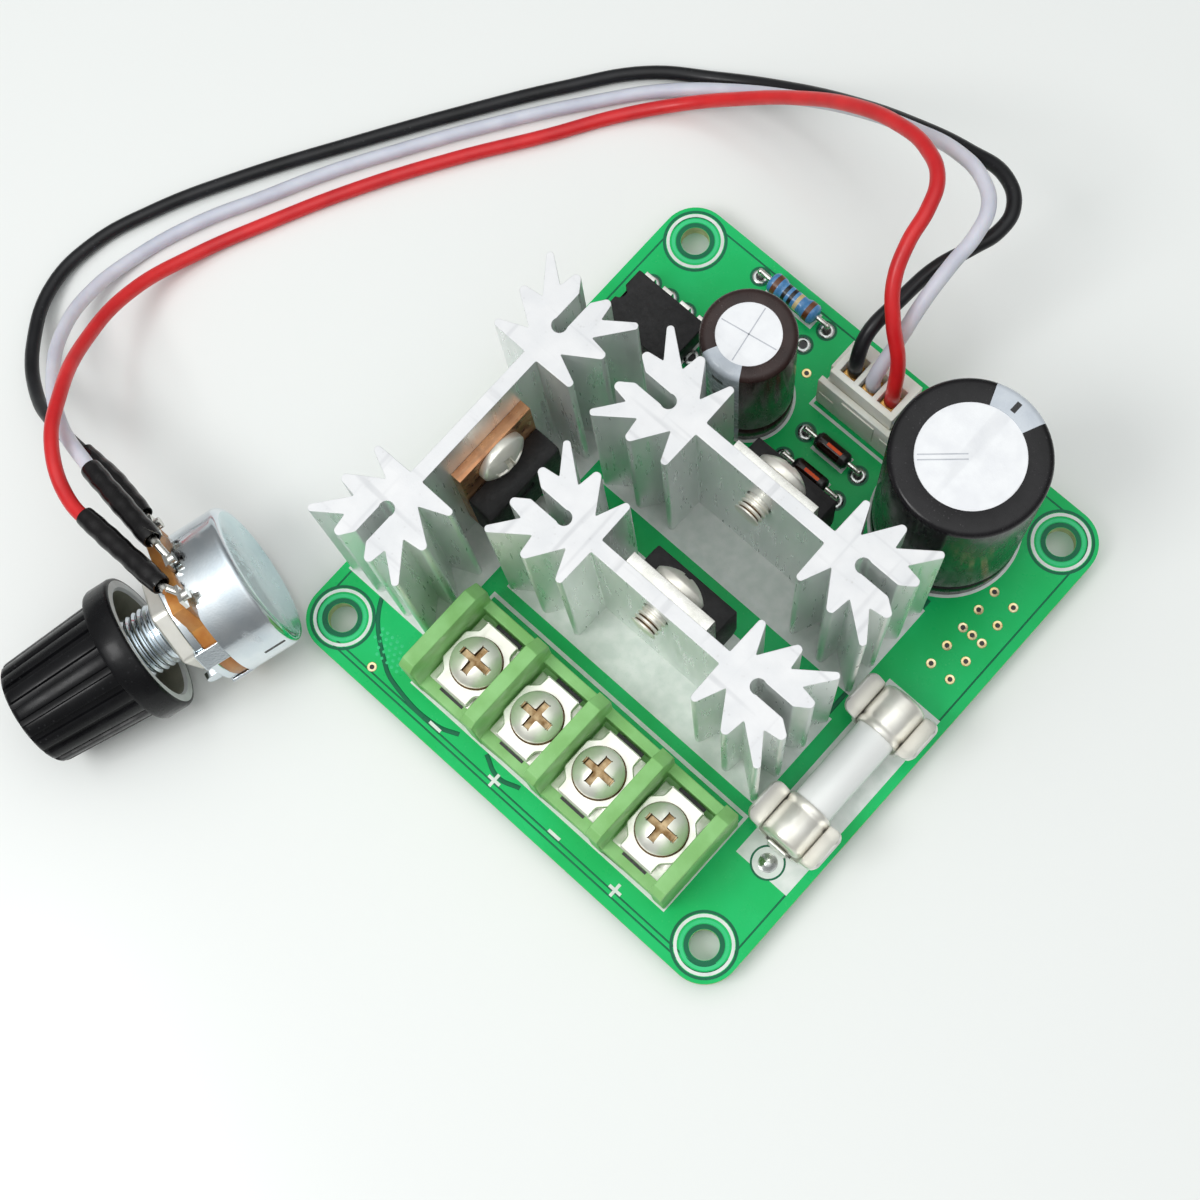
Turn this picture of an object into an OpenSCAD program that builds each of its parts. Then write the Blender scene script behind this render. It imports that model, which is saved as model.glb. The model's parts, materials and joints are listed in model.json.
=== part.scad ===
// DC motor speed controller: a circuit board with three finned heatsinks, a terminal
// strip and a fuse, and a potentiometer with its knob on three loose wires.
// The origin is the centre of the four mounting holes, on the underside of the board.

/* [Board] */
// Width of the circuit board
board_w = 60; // [58.5:0.5:68]
// Length of the circuit board
board_l = 65; // [64.5:0.5:74]
// Thickness of the circuit board
board_t = 1.6; // [1.2:0.1:2]
// Radius of the corners of the board
board_corner_r = 4; // [2:0.5:5]
// Distance of each mounting hole from the edges of the board
hole_inset = 4; // [3.5:0.1:4.5]
// Diameter of the mounting holes
hole_d = 3.2; // [2.7:0.1:3.6]
// How far the stout pins stand out below the board
pin_drop = 1.8; // [1.6:0.1:3]

/* [Heatsinks] */
// Height of the three heatsinks
sink_h = 25; // [23:0.5:35]
// Length of a heatsink along its web
sink_l = 35.1; // [33:0.1:36]
// Width of a heatsink across its fins
sink_w = 11.9; // [10.5:0.1:12.4]
// Thickness of the web that carries the transistor
sink_web_t = 1.55; // [1.2:0.05:2.2]
// Length of the finned star at each end of a heatsink
star_l = 9.4; // [8.6:0.1:9.8]
// Diameter of the two pins that hold a heatsink on the board
sink_pin_d = 1.5; // [1.2:0.1:1.8]

/* [Transistors] */
// Width of a transistor
case_w = 10.3; // [9.6:0.1:10.8]
// Height of a transistor's plastic body
case_h = 9.3; // [8.6:0.1:9.6]
// Thickness of a transistor, with its metal tab
case_t = 4.5; // [4:0.1:4.8]
// Height of the bare part of the metal tab
tab_h = 6.6; // [6.2:0.1:7]
// Thickness of the metal tab
tab_t = 1.3; // [1:0.1:1.5]
// Diameter of the screws that hold the transistors
sink_screw_d = 3; // [2.5:0.1:3.4]

/* [Terminal strip] */
// Distance between two poles of the terminal strip
pole_pitch = 8.6; // [8.2:0.1:8.8]
// Thickness of the walls between the poles
wall_t = 1.6; // [1.2:0.1:1.8]
// Height of the walls between the poles
wall_h = 11; // [10:0.1:13]
// Length of the walls, from front to rear
wall_l = 11.7; // [11.2:0.1:12.4]
// Height of the base under the contacts
base_h = 3.45; // [3.2:0.05:4.2]
// Thickness of a contact
contact_t = 1; // [0.8:0.1:1.2]
// Width of the contacts and the clamp plates
plate_w = 6.4; // [5.6:0.1:6.4]
// Length of the contacts and the clamp plates
plate_l = 8.2; // [7.4:0.1:8.6]
// Thickness of a clamp plate
plate_t = 0.8; // [0.6:0.1:1.1]
// Diameter of a terminal screw's shank
screw_d = 3.4; // [2.8:0.1:3.8]
// Diameter of a terminal screw's head
screw_head_d = 5.4; // [5:0.1:6]
// Height of a terminal screw's head
screw_head_h = 2; // [1.6:0.1:2.4]

/* [Fuse] */
// Length of the fuse
fuse_l = 20; // [19:0.5:21]
// Diameter of the fuse's end caps
fuse_cap_d = 5.2; // [4.8:0.1:5.4]
// Diameter of the fuse's tube
fuse_tube_d = 4.6; // [4.2:0.1:4.7]
// Length of a fuse clip
clip_l = 5.5; // [4.8:0.1:6]
// Thickness of the sheet that the clips are bent from
clip_t = 0.4; // [0.3:0.05:0.5]

/* [Capacitors] */
// Diameter of the big capacitor
big_cap_d = 16; // [14:0.5:16.5]
// Height of the big capacitor
big_cap_h = 25; // [20:0.5:32]
// Diameter of the small capacitor
small_cap_d = 10; // [8:0.5:10.5]
// Height of the small capacitor
small_cap_h = 20; // [15:0.5:26]

/* [Small parts] */
// Length of the chip
chip_l = 9.6; // [9:0.1:10]
// Width of the chip's body
chip_w = 6.35; // [6:0.05:6.6]
// Height of the chip's body
chip_h = 3.3; // [3:0.1:3.6]
// Diameter of the resistor
resistor_d = 2.4; // [1.8:0.1:2.8]
// Diameter of the diodes
diode_d = 1.9; // [1.6:0.1:2.4]
// Width of the connector's header
header_w = 10; // [9.9:0.1:10.8]
// Height of the connector's header
header_h = 7; // [6.4:0.1:7.6]
// Height of the connector's plug above the header
plug_rise = 2.75; // [2.2:0.05:2.9]

/* [Potentiometer] */
// Diameter of the potentiometer's metal can
can_d = 16.6; // [16.2:0.1:17]
// Length of the potentiometer's metal can
can_l = 6; // [5:0.1:6.4]
// Thickness of the wafer that carries the lugs
wafer_t = 1.6; // [1.2:0.1:2]
// Thickness of the mounting plate
mount_plate_t = 1; // [0.8:0.1:1.4]
// Diameter of the threaded bushing
bushing_d = 7; // [6.8:0.1:8]
// Length of the threaded bushing
bushing_l = 7; // [6:0.1:8]
// Diameter of the shaft
shaft_d = 6; // [5.5:0.1:6]
// Width of the nut across its flats
nut_w = 10; // [9.5:0.1:11]

/* [Knob] */
// Length of the knob
knob_l = 15; // [13:0.5:18]
// Diameter of the knob's flange
knob_flange_d = 15.8; // [15:0.1:17]
// Thickness of the knob's flange
knob_flange_t = 3.2; // [2.6:0.1:4]
// Diameter of the knob's grip at the flange
knob_root_d = 13.6; // [12.8:0.1:14.4]
// Diameter of the knob's grip at its tip
knob_tip_d = 12.2; // [11.6:0.1:12.6]
// Depth of the flutes in the grip
flute_depth = 0.45; // [0.2:0.05:0.6]

/* [Wires] */
// Diameter of each of the three wires
wire_d = 1.6; // [1.2:0.1:1.6]
// Diameter of the shrink sleeves on the wires' ends
sleeve_d = 2.4; // [2.2:0.1:2.4]

/* [Hidden] */
$fn = 48;

// Overrun of every cut past the face that it opens
overrun = 0.5;
// Clearance of a fixed piece in its hole
fit = 0.03;
// Running clearance of a turning piece in its bore
run_fit = 0.05;
// Thickness of the printed lines
silk_t = 0.05;
// Width of the printed lines
silk_w = 0.35;
// How far the thin leads stand out below the board
lead_drop = pin_drop - silk_w;
// Height at which the pieces stand on the board
seat = board_t + silk_t;
// Half sizes of the board and the places of its corner holes
half_w = board_w / 2;
half_l = board_l / 2;
hole_x = half_w - hole_inset;
hole_y = half_l - hole_inset;

// Heatsinks: where each web's centre lies, and how many degrees it is turned
sink_left_inset = 6.8;
sink_left_y = -6.4;
sink_rear_x = 2.4;
sink_rear_y = 7.2;
sink_front_x = 2.65;
sink_front_y = -8.1;
sink_centres = [
    [-half_w + sink_left_inset, sink_left_y], [sink_rear_x, sink_rear_y], [sink_front_x, sink_front_y]
];
sink_angles = [-90, 0, 0];
// A heatsink's centre, a way along its web and a way out of it
function by_sink(i, along, out) =
    let (a = sink_angles[i])
        sink_centres[i] + [along * cos(a) - out * sin(a), along * sin(a) + out * cos(a)];
sink_top = seat + sink_h;
// Length cut off each fin's sharp tip
fin_tip = 0.3;
// Points of a star from its outer end: depth and half width as shares, and 1 at a fin's tip
star_shares = [
    [0.16, 0.13, 0], [0, 0.36, 1], [0.22, 0.46, 0], [0.01, 1, 1],
    [0.43, 0.555, 0], [0.495, 0.95, 1], [0.78, 0.355, 0], [0.96, 0.875, 1]
];
// Depth of the pin's hole in a star, as a share of the star's length
pin_share = 0.55;
sink_pin_u = sink_l / 2 - star_l * pin_share;
sink_pin_rise = 4.4;
slot_w = sink_pin_d - 2 * fit;

// Transistors: how far each tab's top lies below the top of its heatsink
tab_down = [5.4, 2.2, 0.4];
tab_hole_down = 2.8;
tab_hole_play = 0.5;
tab_hole_d = sink_screw_d + tab_hole_play;
lead_pitch = 2.54;
lead_w = 0.8;
lead_t = 0.5;
lead_out = 2.7;
case_bevel = 0.5;
dimple_d = 2.2;
dimple_depth = 0.15;
sink_head_d = 5.8;
sink_head_h = 2;
screw_end = 2;
// Radius of a pan head's dome and size of its recess, as shares of the head's diameter and height
dome_share = 0.72;
recess_l_share = 0.62;
recess_w_share = 0.15;
recess_depth_share = 0.5;
slot_w_share = 0.13;

// Terminal strip
poles = 4;
strip_x = 2.5;
strip_inset = 3.9;
strip_front = -half_l + strip_inset;
strip_w = poles * pole_pitch + wall_t;
base_l = 13.6;
base_front = 0.2;
rib_t = 0.8;
rib_h = 5.9;
ledge_h = 5;
wall_slope = 1.6;
plate_inset = 1.36;
screw_y = strip_front + base_front + plate_inset + plate_l / 2;
lip_h = 0.9;
cavity_play = 0.8;
cavity_d = screw_d + cavity_play;
cavity_floor = 0.6;
contact_z = seat + base_h;
clamp_z = contact_z + contact_t;
screw_seat_z = clamp_z + lip_h + plate_t;
thread_l = 2.4;
screw_shank_l = plate_t + lip_h + contact_t + thread_l;
foot_w = 1.2;
foot_t = 0.9;
foot_y = screw_y + plate_l / 2 - foot_t;
function pole_x(i) = strip_x + (i - (poles + 1) / 2) * pole_pitch;

// Fuse and its two clips
fuse_inset = 4.9;
fuse_x = half_w - fuse_inset;
fuse_y = -5.9;
fuse_rise = 3.85;
fuse_z = seat + fuse_rise;
fuse_cap_l = 5;
fuse_cap_t = 0.25;
fuse_wall = 0.5;
fuse_wire_d = 0.3;
jaw_r = fuse_cap_d / 2 + run_fit;
jaw_rise = 1;
jaw_flare = 2.3;
jaw_angle = 48;
foot_gap_share = 0.62;
clip_offset = fuse_l / 2 - clip_l / 2 + clip_t / 2;
clip_feet_gap = 3.2;
clip_foot_w = 1.1;

// Capacitors: place, diameter, height and distance between the leads
big_cap_inset_x = 14.6;
big_cap_inset_y = 10.4;
small_cap_x = -9.8;
small_cap_inset_y = 13.7;
cap_lead_gap_share = 0.47;
caps = [
    [half_w - big_cap_inset_x, half_l - big_cap_inset_y, big_cap_d, big_cap_h],
    [small_cap_x, half_l - small_cap_inset_y, small_cap_d, small_cap_h]
];
sleeve_t = 0.12;
cap_wall = 0.3;
cap_edge = 0.7;
cap_groove_z = 2.4;
cap_groove_w = 1.4;
cap_groove_d = 0.5;
cap_lip_share = 0.34;
bung_t = 2;
cap_lead_d = 0.7;
score_w = 0.25;
score_depth = 0.12;

// Chip
chip_inset_x = 7.5;
chip_inset_y = 14.7;
chip_x = -half_w + chip_inset_x;
chip_y = half_l - chip_inset_y;
chip_rise = 0.5;
chip_row_gap = 7.62;
leg_w = 0.5;
leg_t = 0.3;
leg_shoulder_w = 1.3;
notch_d = 1.6;

// Resistor, diodes and their bent leads
axial_lead_d = 0.6;
resistor_inset_y = 2.4;
resistor_x = -13;
resistor_l = 6.6;
resistor_bulb_l = 1.8;
diode_x = 1.4;
diode_l = 4.4;
diode_rear_inset_y = 12.6;
diode_front_inset_y = 16.3;
lead_reach = 1.5;
// Each axial part: centre x, centre y, height above the board, half length
axials = [
    [resistor_x, half_l - resistor_inset_y, resistor_d / 2 + silk_w, resistor_l / 2],
    [diode_x, half_l - diode_rear_inset_y, diode_d / 2 + silk_w, diode_l / 2],
    [diode_x, half_l - diode_front_inset_y, diode_d / 2 + silk_w, diode_l / 2]
];

// Connector: header on the board, plug in the header
plug_x = 1.1;
plug_inset_y = 6.3;
plug_y = half_l - plug_inset_y;
plug_pitch = 2.5;
header_l = 5.8;
header_wall = 0.7;
header_floor = 1;
header_back_h = 3;
header_notch_w = 1.4;
header_notch_h = 3.4;
plug_gap = 0.1;
plug_w = header_w - 2 * header_wall - 2 * plug_gap;
plug_l = header_l - 2 * header_wall - 2 * plug_gap;
well_w = 1.9;
well_l = 2.7;
pin_w = 0.64;
crimp_w = 1.7;
crimp_l = 1.9;
// Height of the crimps' tops, where the wires start
crimp_top = 9.8;

// Potentiometer: centre of the knob's rear face, and the way that the shaft points
pot_x = -38.2;
pot_y = -44;
pot_azimuth = 72;
knob_lean = atan((knob_flange_d - knob_tip_d) / 2 / (knob_l - knob_flange_t));
pot_z = -pin_drop + knob_flange_d / 2 * cos(knob_lean) + knob_flange_t * sin(knob_lean);
plate_z = 5.2;
wafer_z = plate_z + mount_plate_t;
can_z = wafer_z + wafer_t;
can_wall = 0.4;
plate_d = can_d - 2 * can_wall;
tab_wrap_w = 2.4;
// Where the can's tabs lie, in degrees from the lugs
wrap_angles = [75, 140];
key_w = 2.2;
key_l = 1.8;
key_t = 0.8;
key_share = 0.86;
nut_t = 2;
washer_t = 0.5;
washer_rim = 1;
washer_d = nut_w + 2 * washer_rim;
lug_turn = 22;
lug_pitch = 5;
lug_w = 2.2;
lug_t = 0.4;
lug_start = can_d / 2 + lug_t / 2;
lug_reach = 1.4;
lug_end = lug_start + lug_reach;
tongue_w = 2 * lug_pitch + lug_w;
tongue_reach = 0.3;
tongue_r = lug_start + tongue_reach;
rotor_d = 12.6;
rotor_t = 1.2;
shaft_reach = 0.8;
shaft_end_z = can_z + shaft_reach;
wiper_w = 1.6;
wiper_l = 2.6;
tail_d = 1;
// The bare strands from a lug to its sleeve, and the solder that holds them on the lug
strand_d = 0.8;
lug_solder_d = 1.2;
lug_solder_h = 1;
strand_start = (lug_start + lug_end) / 2;
// A bent lead's round knee, as a share of the lead's diameter
blob_share = 1.15;
sleeve_wall = sleeve_d / 2 - wire_d / 2 - run_fit;

// Knob
flutes = 18;
knob_bore_l = 12;
knob_flange_wall = 1.3;
knob_hollow_r = knob_flange_d / 2 - knob_flange_wall;
knob_hollow_depth = 3.4;
knob_boss_wall = 1.5;
knob_boss_r = shaft_d / 2 + knob_boss_wall;
knob_boss_back = 2.6;
flute_d = 1.5;
knob_chamfer = 0.6;
pointer_w = 0.9;
pointer_depth = 0.3;

// Routes of the three wires from the plug, over the table, to the sleeves
route_black = [
    [-1.4, 26.2, 9.8], [-1.4, 26.2, 13], [-2, 28.5, 16], [-1.7, 32.5, 17], [-1, 37.5, 18],
    [0.5, 41.5, 18.5], [1.4, 44.4, 18.8], [0.9, 47.3, 18.9], [-1.8, 49.5, 18.5],
    [-7, 50.2, 16.5], [-14, 50.2, 13], [-22.5, 50, 7], [-30.5, 48.6, 2], [-38, 45.5, -0.8],
    [-44.5, 41, -1], [-50.5, 33.5, -1], [-57, 24, -1], [-64, 13, -1], [-71.5, 0.5, -1],
    [-76, -8.5, -1], [-78.5, -16, -1], [-78.2, -22.5, -0.5], [-74.5, -28.5, 1],
    [-68.5, -32.8, 3.8], [-62, -34.1, 7.7], [-54, -34.2, 10.4]
];
route_white = [
    [1.1, 26.2, 9.8], [1.1, 26.2, 13], [1, 29.5, 16.5], [0.6, 33.5, 19], [0.4, 38, 20.5],
    [0.4, 41.5, 21.5], [-0.5, 44.5, 22], [-3, 46.6, 21.5], [-7, 47.8, 20], [-13, 48.2, 16.5],
    [-20.5, 48.2, 11], [-28, 47, 5.5], [-35, 44.6, 1.5], [-41.5, 40.5, -0.8], [-47, 34, -1],
    [-53.5, 25, -1], [-60, 14.8, -1], [-64, 8, -1], [-67.5, 1, -1], [-71, -6, -1],
    [-73.5, -13.5, -1], [-73.8, -20.5, 0.5], [-71.5, -26, 3.2], [-67, -30.4, 6.6],
    [-61, -33.6, 10.2], [-54.5, -34.9, 13.3], [-50.5, -35.3, 14.5]
];
route_red = [
    [3.6, 26.2, 9.8], [3.6, 26.2, 13.2], [2.4, 27.8, 17.2], [0, 29.5, 20.3], [-2.3, 32, 22.8],
    [-3.6, 35.5, 24.6], [-4.2, 39, 25.4], [-5.6, 42.2, 25.2], [-8.8, 44.6, 23.6],
    [-13.5, 46, 20.6], [-19.5, 46.4, 16], [-26.5, 45.6, 9.6], [-33, 43.4, 4],
    [-38.5, 40.2, 0.3], [-43.5, 34.8, -1], [-48, 27.8, -1], [-54, 19, -1], [-60, 9, -1],
    [-65, -1, -1], [-68.3, -9, -0.5], [-69.5, -17, 2.2], [-67.2, -24.8, 6.8],
    [-62.2, -31.6, 12.4], [-57.6, -36.2, 14.8], [-52.2, -38.9, 15], [-46.5, -39, 16.1]
];
routes = [route_black, route_white, route_red];
// Ends of the three straight sleeves: at the lug, and on the wire
sleeve_starts = [[-46, -34.8, 12.7], [-42, -36.1, 16.7], [-37.5, -38.9, 17.9]];
sleeve_ends = [[-57, -34, 9.5], [-53.5, -35, 13.7], [-49.5, -39, 15.5]];
wire_sides = 8;

// A box that stands on z = 0, centred on x and y
module block(w, l, h) {
    translate([-w / 2, -l / 2, 0]) cube([w, l, h]);
}

// A round bar from one point to another
module rod(p, q, d) {
    v = q - p;
    translate(p)
        rotate([0, acos(v[2] / norm(v)), atan2(v[1], v[0])])
            cylinder(h = norm(v), d = d);
}

// A plate outline with round corners
module rounded(w, l, r) {
    square([w - 2 * r, l], center = true);
    square([w, l - 2 * r], center = true);
    for (x = [-1, 1], y = [-1, 1])
        translate([x * (w / 2 - r), y * (l / 2 - r)]) circle(r);
}

// A rectangle drawn as a line
module frame_line(w, l) {
    difference() {
        square([w, l], center = true);
        square([w - 2 * silk_w, l - 2 * silk_w], center = true);
    }
}

// A circle drawn as a line, r at the outside
module ring_line(r) {
    difference() {
        circle(r);
        circle(r - silk_w);
    }
}

// A pan head screw with its head's underside at z = 0; its recess is a cross, or a cross and a slot
module pan_screw(head_d, head_h, shank_d, shank_l, slotted) {
    difference() {
        intersection() {
            cylinder(h = head_h, d = head_d);
            translate([0, 0, head_h - head_d * dome_share]) sphere(head_d * dome_share);
        }
        for (a = [0, 90]) rotate(a)
            translate([0, 0, head_h * (1 - recess_depth_share)])
                block(head_d * recess_l_share, head_d * recess_w_share, head_h);
        if (slotted) translate([0, 0, head_h * (1 - recess_depth_share / 2)])
            block(head_d + overrun, head_d * slot_w_share, head_h);
    }
    translate([0, 0, -shank_l]) cylinder(h = shank_l, d = shank_d);
}

// Where every lead passes through the board: x, y and the hole's diameter
sink_holes = [
    for (i = [0:2], e = [-1, 1])
        let (p = by_sink(i, e * sink_pin_u, 0)) [p[0], p[1], sink_pin_d]
];
transistor_holes = [
    for (i = [0:2], k = [-1:1])
        let (p = by_sink(i, k * lead_pitch, sink_web_t / 2 + lead_out))
            [p[0], p[1], norm([lead_w, lead_t])]
];
strip_holes = [for (i = [1:poles]) [pole_x(i), foot_y, norm([foot_w, foot_t])]];
clip_holes = [
    for (e = [-1, 1], f = [-1, 1])
        [fuse_x, fuse_y + e * clip_offset + f * clip_feet_gap / 2, norm([clip_foot_w, clip_t])]
];
cap_holes = [
    for (c = caps, e = [-1, 1]) [c[0] + e * c[2] * cap_lead_gap_share / 2, c[1], cap_lead_d]
];
chip_holes = [
    for (i = [0:3], e = [-1, 1])
        [chip_x + (i - 1.5) * lead_pitch, chip_y + e * chip_row_gap / 2, norm([leg_w, leg_t])]
];
axial_holes = [for (a = axials, e = [-1, 1]) [a[0] + e * (a[3] + lead_reach), a[1], axial_lead_d]];
plug_holes = [for (i = [-1:1]) [plug_x + i * plug_pitch, plug_y, norm([pin_w, pin_w])]];
lead_holes = concat(sink_holes, transistor_holes, strip_holes, clip_holes, cap_holes, chip_holes,
    axial_holes, plug_holes);

// The board with its corner holes and a hole for every lead
module circuit_board() {
    color("seagreen") difference() {
        linear_extrude(board_t) rounded(board_w, board_l, board_corner_r);
        for (x = [-1, 1], y = [-1, 1])
            translate([x * hole_x, y * hole_y, -overrun])
                cylinder(h = board_t + 2 * overrun, d = hole_d);
        for (h = lead_holes)
            translate([h[0], h[1], -overrun])
                cylinder(h = board_t + 2 * overrun, d = h[2] + 2 * fit);
    }
}

// The plus and minus marks in front of the poles
mark_l = 1.6;
mark_gap = 1.9;
mark_y = strip_front - mark_gap;
module polarity_marks() {
    for (i = [1:poles]) translate([pole_x(i), mark_y]) {
        square([mark_l, silk_w], center = true);
        if (i % 2 == 0) square([silk_w, mark_l], center = true);
    }
}

// The white printing: rings, outlines and marks
silk_margin = 0.3;
module silkscreen() {
    color("white") translate([0, 0, board_t]) linear_extrude(silk_t) difference() {
        union() {
            for (x = [-1, 1], y = [-1, 1])
                translate([x * hole_x, y * hole_y]) ring_line(hole_d);
            for (i = [0:2]) translate(sink_centres[i]) rotate(sink_angles[i])
                square([sink_l + silk_margin, sink_w + silk_margin], center = true);
            for (c = caps) translate([c[0], c[1]]) ring_line(c[2] / 2 + silk_margin);
            translate([strip_x, strip_front + base_l / 2 + silk_margin / 2])
                frame_line(strip_w + silk_margin, base_l + silk_margin);
            translate([fuse_x, fuse_y])
                square([2 * jaw_r + 4 * clip_t, fuse_l + 2 * clip_l], center = true);
            translate([chip_x, chip_y]) frame_line(chip_l + silk_margin, chip_w + silk_margin);
            for (a = axials) translate([a[0], a[1]])
                frame_line(2 * a[3], resistor_d - silk_margin);
            translate([plug_x, plug_y - silk_margin])
                frame_line(header_w + 2 * silk_margin, header_l + 3 * silk_margin);
            polarity_marks();
        }
        for (h = lead_holes) translate([h[0], h[1]]) circle(d = h[2] + 2 * silk_w);
    }
}

// A cone of solder round every lead, under the board
solder_h = 0.9;
solder_w = 0.75;
module solder_joints() {
    color("silver") for (h = lead_holes) translate([h[0], h[1], -solder_h]) difference() {
        cylinder(h = solder_h, d1 = h[2] + solder_w, d2 = h[2] + 2 * solder_w);
        translate([0, 0, -overrun])
            cylinder(h = solder_h + 2 * overrun, d = h[2] + 2 * fit);
    }
}

// The outline of a heatsink, along x
function toward(p, q, d) = p + (q - p) * d / norm(q - p);
function star_side(e) = [for (s = star_shares) [e * (sink_l / 2 - star_l * s[0]), sink_w / 2 * s[1]]];
function backward(list) = [for (i = [len(list) - 1:-1:0]) list[i]];
function blunt_side(p) = [
    for (i = [0:len(p) - 1]) each star_shares[i][2] == 0 ? [p[i]] :
        [toward(p[i], p[i - 1], fin_tip), toward(p[i], i < len(p) - 1 ? p[i + 1] : root_point(p), fin_tip)]
];
function root_point(p) = [sign(p[0][0]) * (sink_l / 2 - star_l), sink_web_t / 2];
function half_star(e) = concat(blunt_side(star_side(e)), [root_point(star_side(e))]);
function flip(list) = [for (p = list) [p[0], -p[1]]];
module sink_outline() {
    upper = concat(half_star(1), backward(half_star(-1)));
    difference() {
        polygon(concat(upper, backward(flip(upper))));
        for (e = [-1, 1]) translate([e * sink_pin_u, 0]) {
            circle(d = sink_pin_d + 2 * fit);
            translate([e * star_l / 2, 0]) square([star_l, slot_w], center = true);
        }
    }
}

// One heatsink, with the screw's hole through its web
module heatsink(i) {
    color("gainsboro") translate(sink_centres[i]) rotate(sink_angles[i]) difference() {
        translate([0, 0, seat]) linear_extrude(sink_h) sink_outline();
        translate([0, sink_web_t, sink_top - tab_down[i] - tab_hole_down])
            rotate([90, 0, 0]) cylinder(h = 2 * sink_web_t, d = sink_screw_d + 2 * fit);
    }
}
module heatsink_left() { heatsink(0); }
module heatsink_rear() { heatsink(1); }
module heatsink_front() { heatsink(2); }

// The two pins in each heatsink's stars
module heatsink_pins() {
    color("silver") for (h = sink_holes) translate([h[0], h[1], -pin_drop])
        cylinder(h = pin_drop + seat + sink_pin_rise, d = sink_pin_d);
}

// Puts its children on a heatsink's web: x along the web, y out of it, z = 0 at the tab's top
module on_web(i) {
    translate(sink_centres[i]) rotate(sink_angles[i])
        translate([0, sink_web_t / 2, sink_top - tab_down[i]]) children();
}

// A transistor's metal tab and its three leads
module transistor_tab(i, tone) {
    body_bottom = -tab_h - case_h;
    lead_l = sink_top - tab_down[i] + body_bottom + lead_drop;
    color(tone) on_web(i) {
        difference() {
            translate([-case_w / 2, 0, body_bottom]) cube([case_w, tab_t, tab_h + case_h]);
            translate([0, -overrun, -tab_hole_down])
                rotate([-90, 0, 0]) cylinder(h = tab_t + 2 * overrun, d = tab_hole_d);
        }
        for (k = [-1:1]) translate([k * lead_pitch, lead_out, body_bottom - lead_l])
            block(lead_w, lead_t, lead_l);
    }
}
module transistor_left_tab() { transistor_tab(0, "peru"); }
module transistor_rear_tab() { transistor_tab(1, "silver"); }
module transistor_front_tab() { transistor_tab(2, "silver"); }

// A transistor's plastic body, bevelled along its front edges
module transistor_body(i) {
    top = -tab_h;
    bottom = -tab_h - case_h;
    color("dimgray") on_web(i) difference() {
        translate([-case_w / 2, 0, 0]) rotate([90, 0, 90]) linear_extrude(case_w) polygon([
            [tab_t, top], [case_t - 2 * case_bevel, top], [case_t, top - case_bevel],
            [case_t, bottom + 2 * case_bevel], [case_t - case_bevel, bottom], [tab_t, bottom]
        ]);
        translate([0, case_t - dimple_depth, top - case_h / 4])
            rotate([-90, 0, 0]) cylinder(h = dimple_depth + overrun, d = dimple_d);
    }
}
module transistor_left_body() { transistor_body(0); }
module transistor_rear_body() { transistor_body(1); }
module transistor_front_body() { transistor_body(2); }

// The three screws through the tabs and the webs
module heatsink_screws() {
    color("silver") for (i = [0:2]) on_web(i)
        translate([0, tab_t, -tab_hole_down]) rotate([-90, 0, 0])
            pan_screw(sink_head_d, sink_head_h, sink_screw_d, tab_t + sink_web_t + screw_end, false);
}

// The terminal strip's housing: base, five walls, rear rib and ledge
module terminal_housing() {
    color("olivedrab") difference() {
        union() {
            translate([strip_x, strip_front + base_front, seat]) {
                translate([0, (base_l - base_front) / 2, 0])
                    block(strip_w, base_l - base_front, base_h);
                translate([0, base_l - base_front - (base_l - wall_l) / 2, 0])
                    block(strip_w, base_l - wall_l, ledge_h);
                translate([0, wall_l - rib_t / 2 - base_front, 0]) block(strip_w, rib_t, rib_h);
            }
            for (i = [0:poles]) translate([pole_x(i) + pole_pitch / 2 - wall_t / 2, strip_front, seat])
                rotate([90, 0, 90]) linear_extrude(wall_t) polygon([
                    [0, 0], [wall_l, 0], [wall_l, wall_h - wall_slope], [wall_l - wall_slope, wall_h],
                    [wall_slope / 2, wall_h], [0, wall_h - wall_slope / 2]
                ]);
        }
        for (i = [1:poles]) {
            translate([pole_x(i), screw_y, seat + cavity_floor])
                cylinder(h = base_h, d = cavity_d);
            translate([pole_x(i), foot_y, -overrun])
                block(foot_w + 2 * run_fit, foot_t + 2 * run_fit, contact_z + 2 * overrun);
        }
    }
}

// A contact: a drilled plate with a foot through the base and the board
module contact(i) {
    color("silver") translate([pole_x(i), 0, 0]) {
        translate([0, screw_y, contact_z]) difference() {
            block(plate_w, plate_l, contact_t);
            translate([0, 0, -overrun])
                cylinder(h = contact_t + 2 * overrun, d = screw_d + 2 * run_fit);
        }
        translate([0, foot_y, -pin_drop]) block(foot_w, foot_t, pin_drop + contact_z);
    }
}
module contact_1() { contact(1); }
module contact_2() { contact(2); }
module contact_3() { contact(3); }
module contact_4() { contact(4); }

// A clamp plate with a lip turned down at its front and rear
module clamp_plate(i) {
    color("lightgray") translate([pole_x(i), screw_y, clamp_z + lip_h]) difference() {
        union() {
            block(plate_w, plate_l, plate_t);
            for (e = [-1, 1]) translate([0, e * (plate_l - plate_t) / 2, -lip_h])
                block(plate_w, plate_t, lip_h + plate_t / 2);
        }
        translate([0, 0, -overrun])
            cylinder(h = plate_t + 2 * overrun, d = screw_d + 2 * run_fit);
    }
}
module clamp_plate_1() { clamp_plate(1); }
module clamp_plate_2() { clamp_plate(2); }
module clamp_plate_3() { clamp_plate(3); }
module clamp_plate_4() { clamp_plate(4); }

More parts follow.
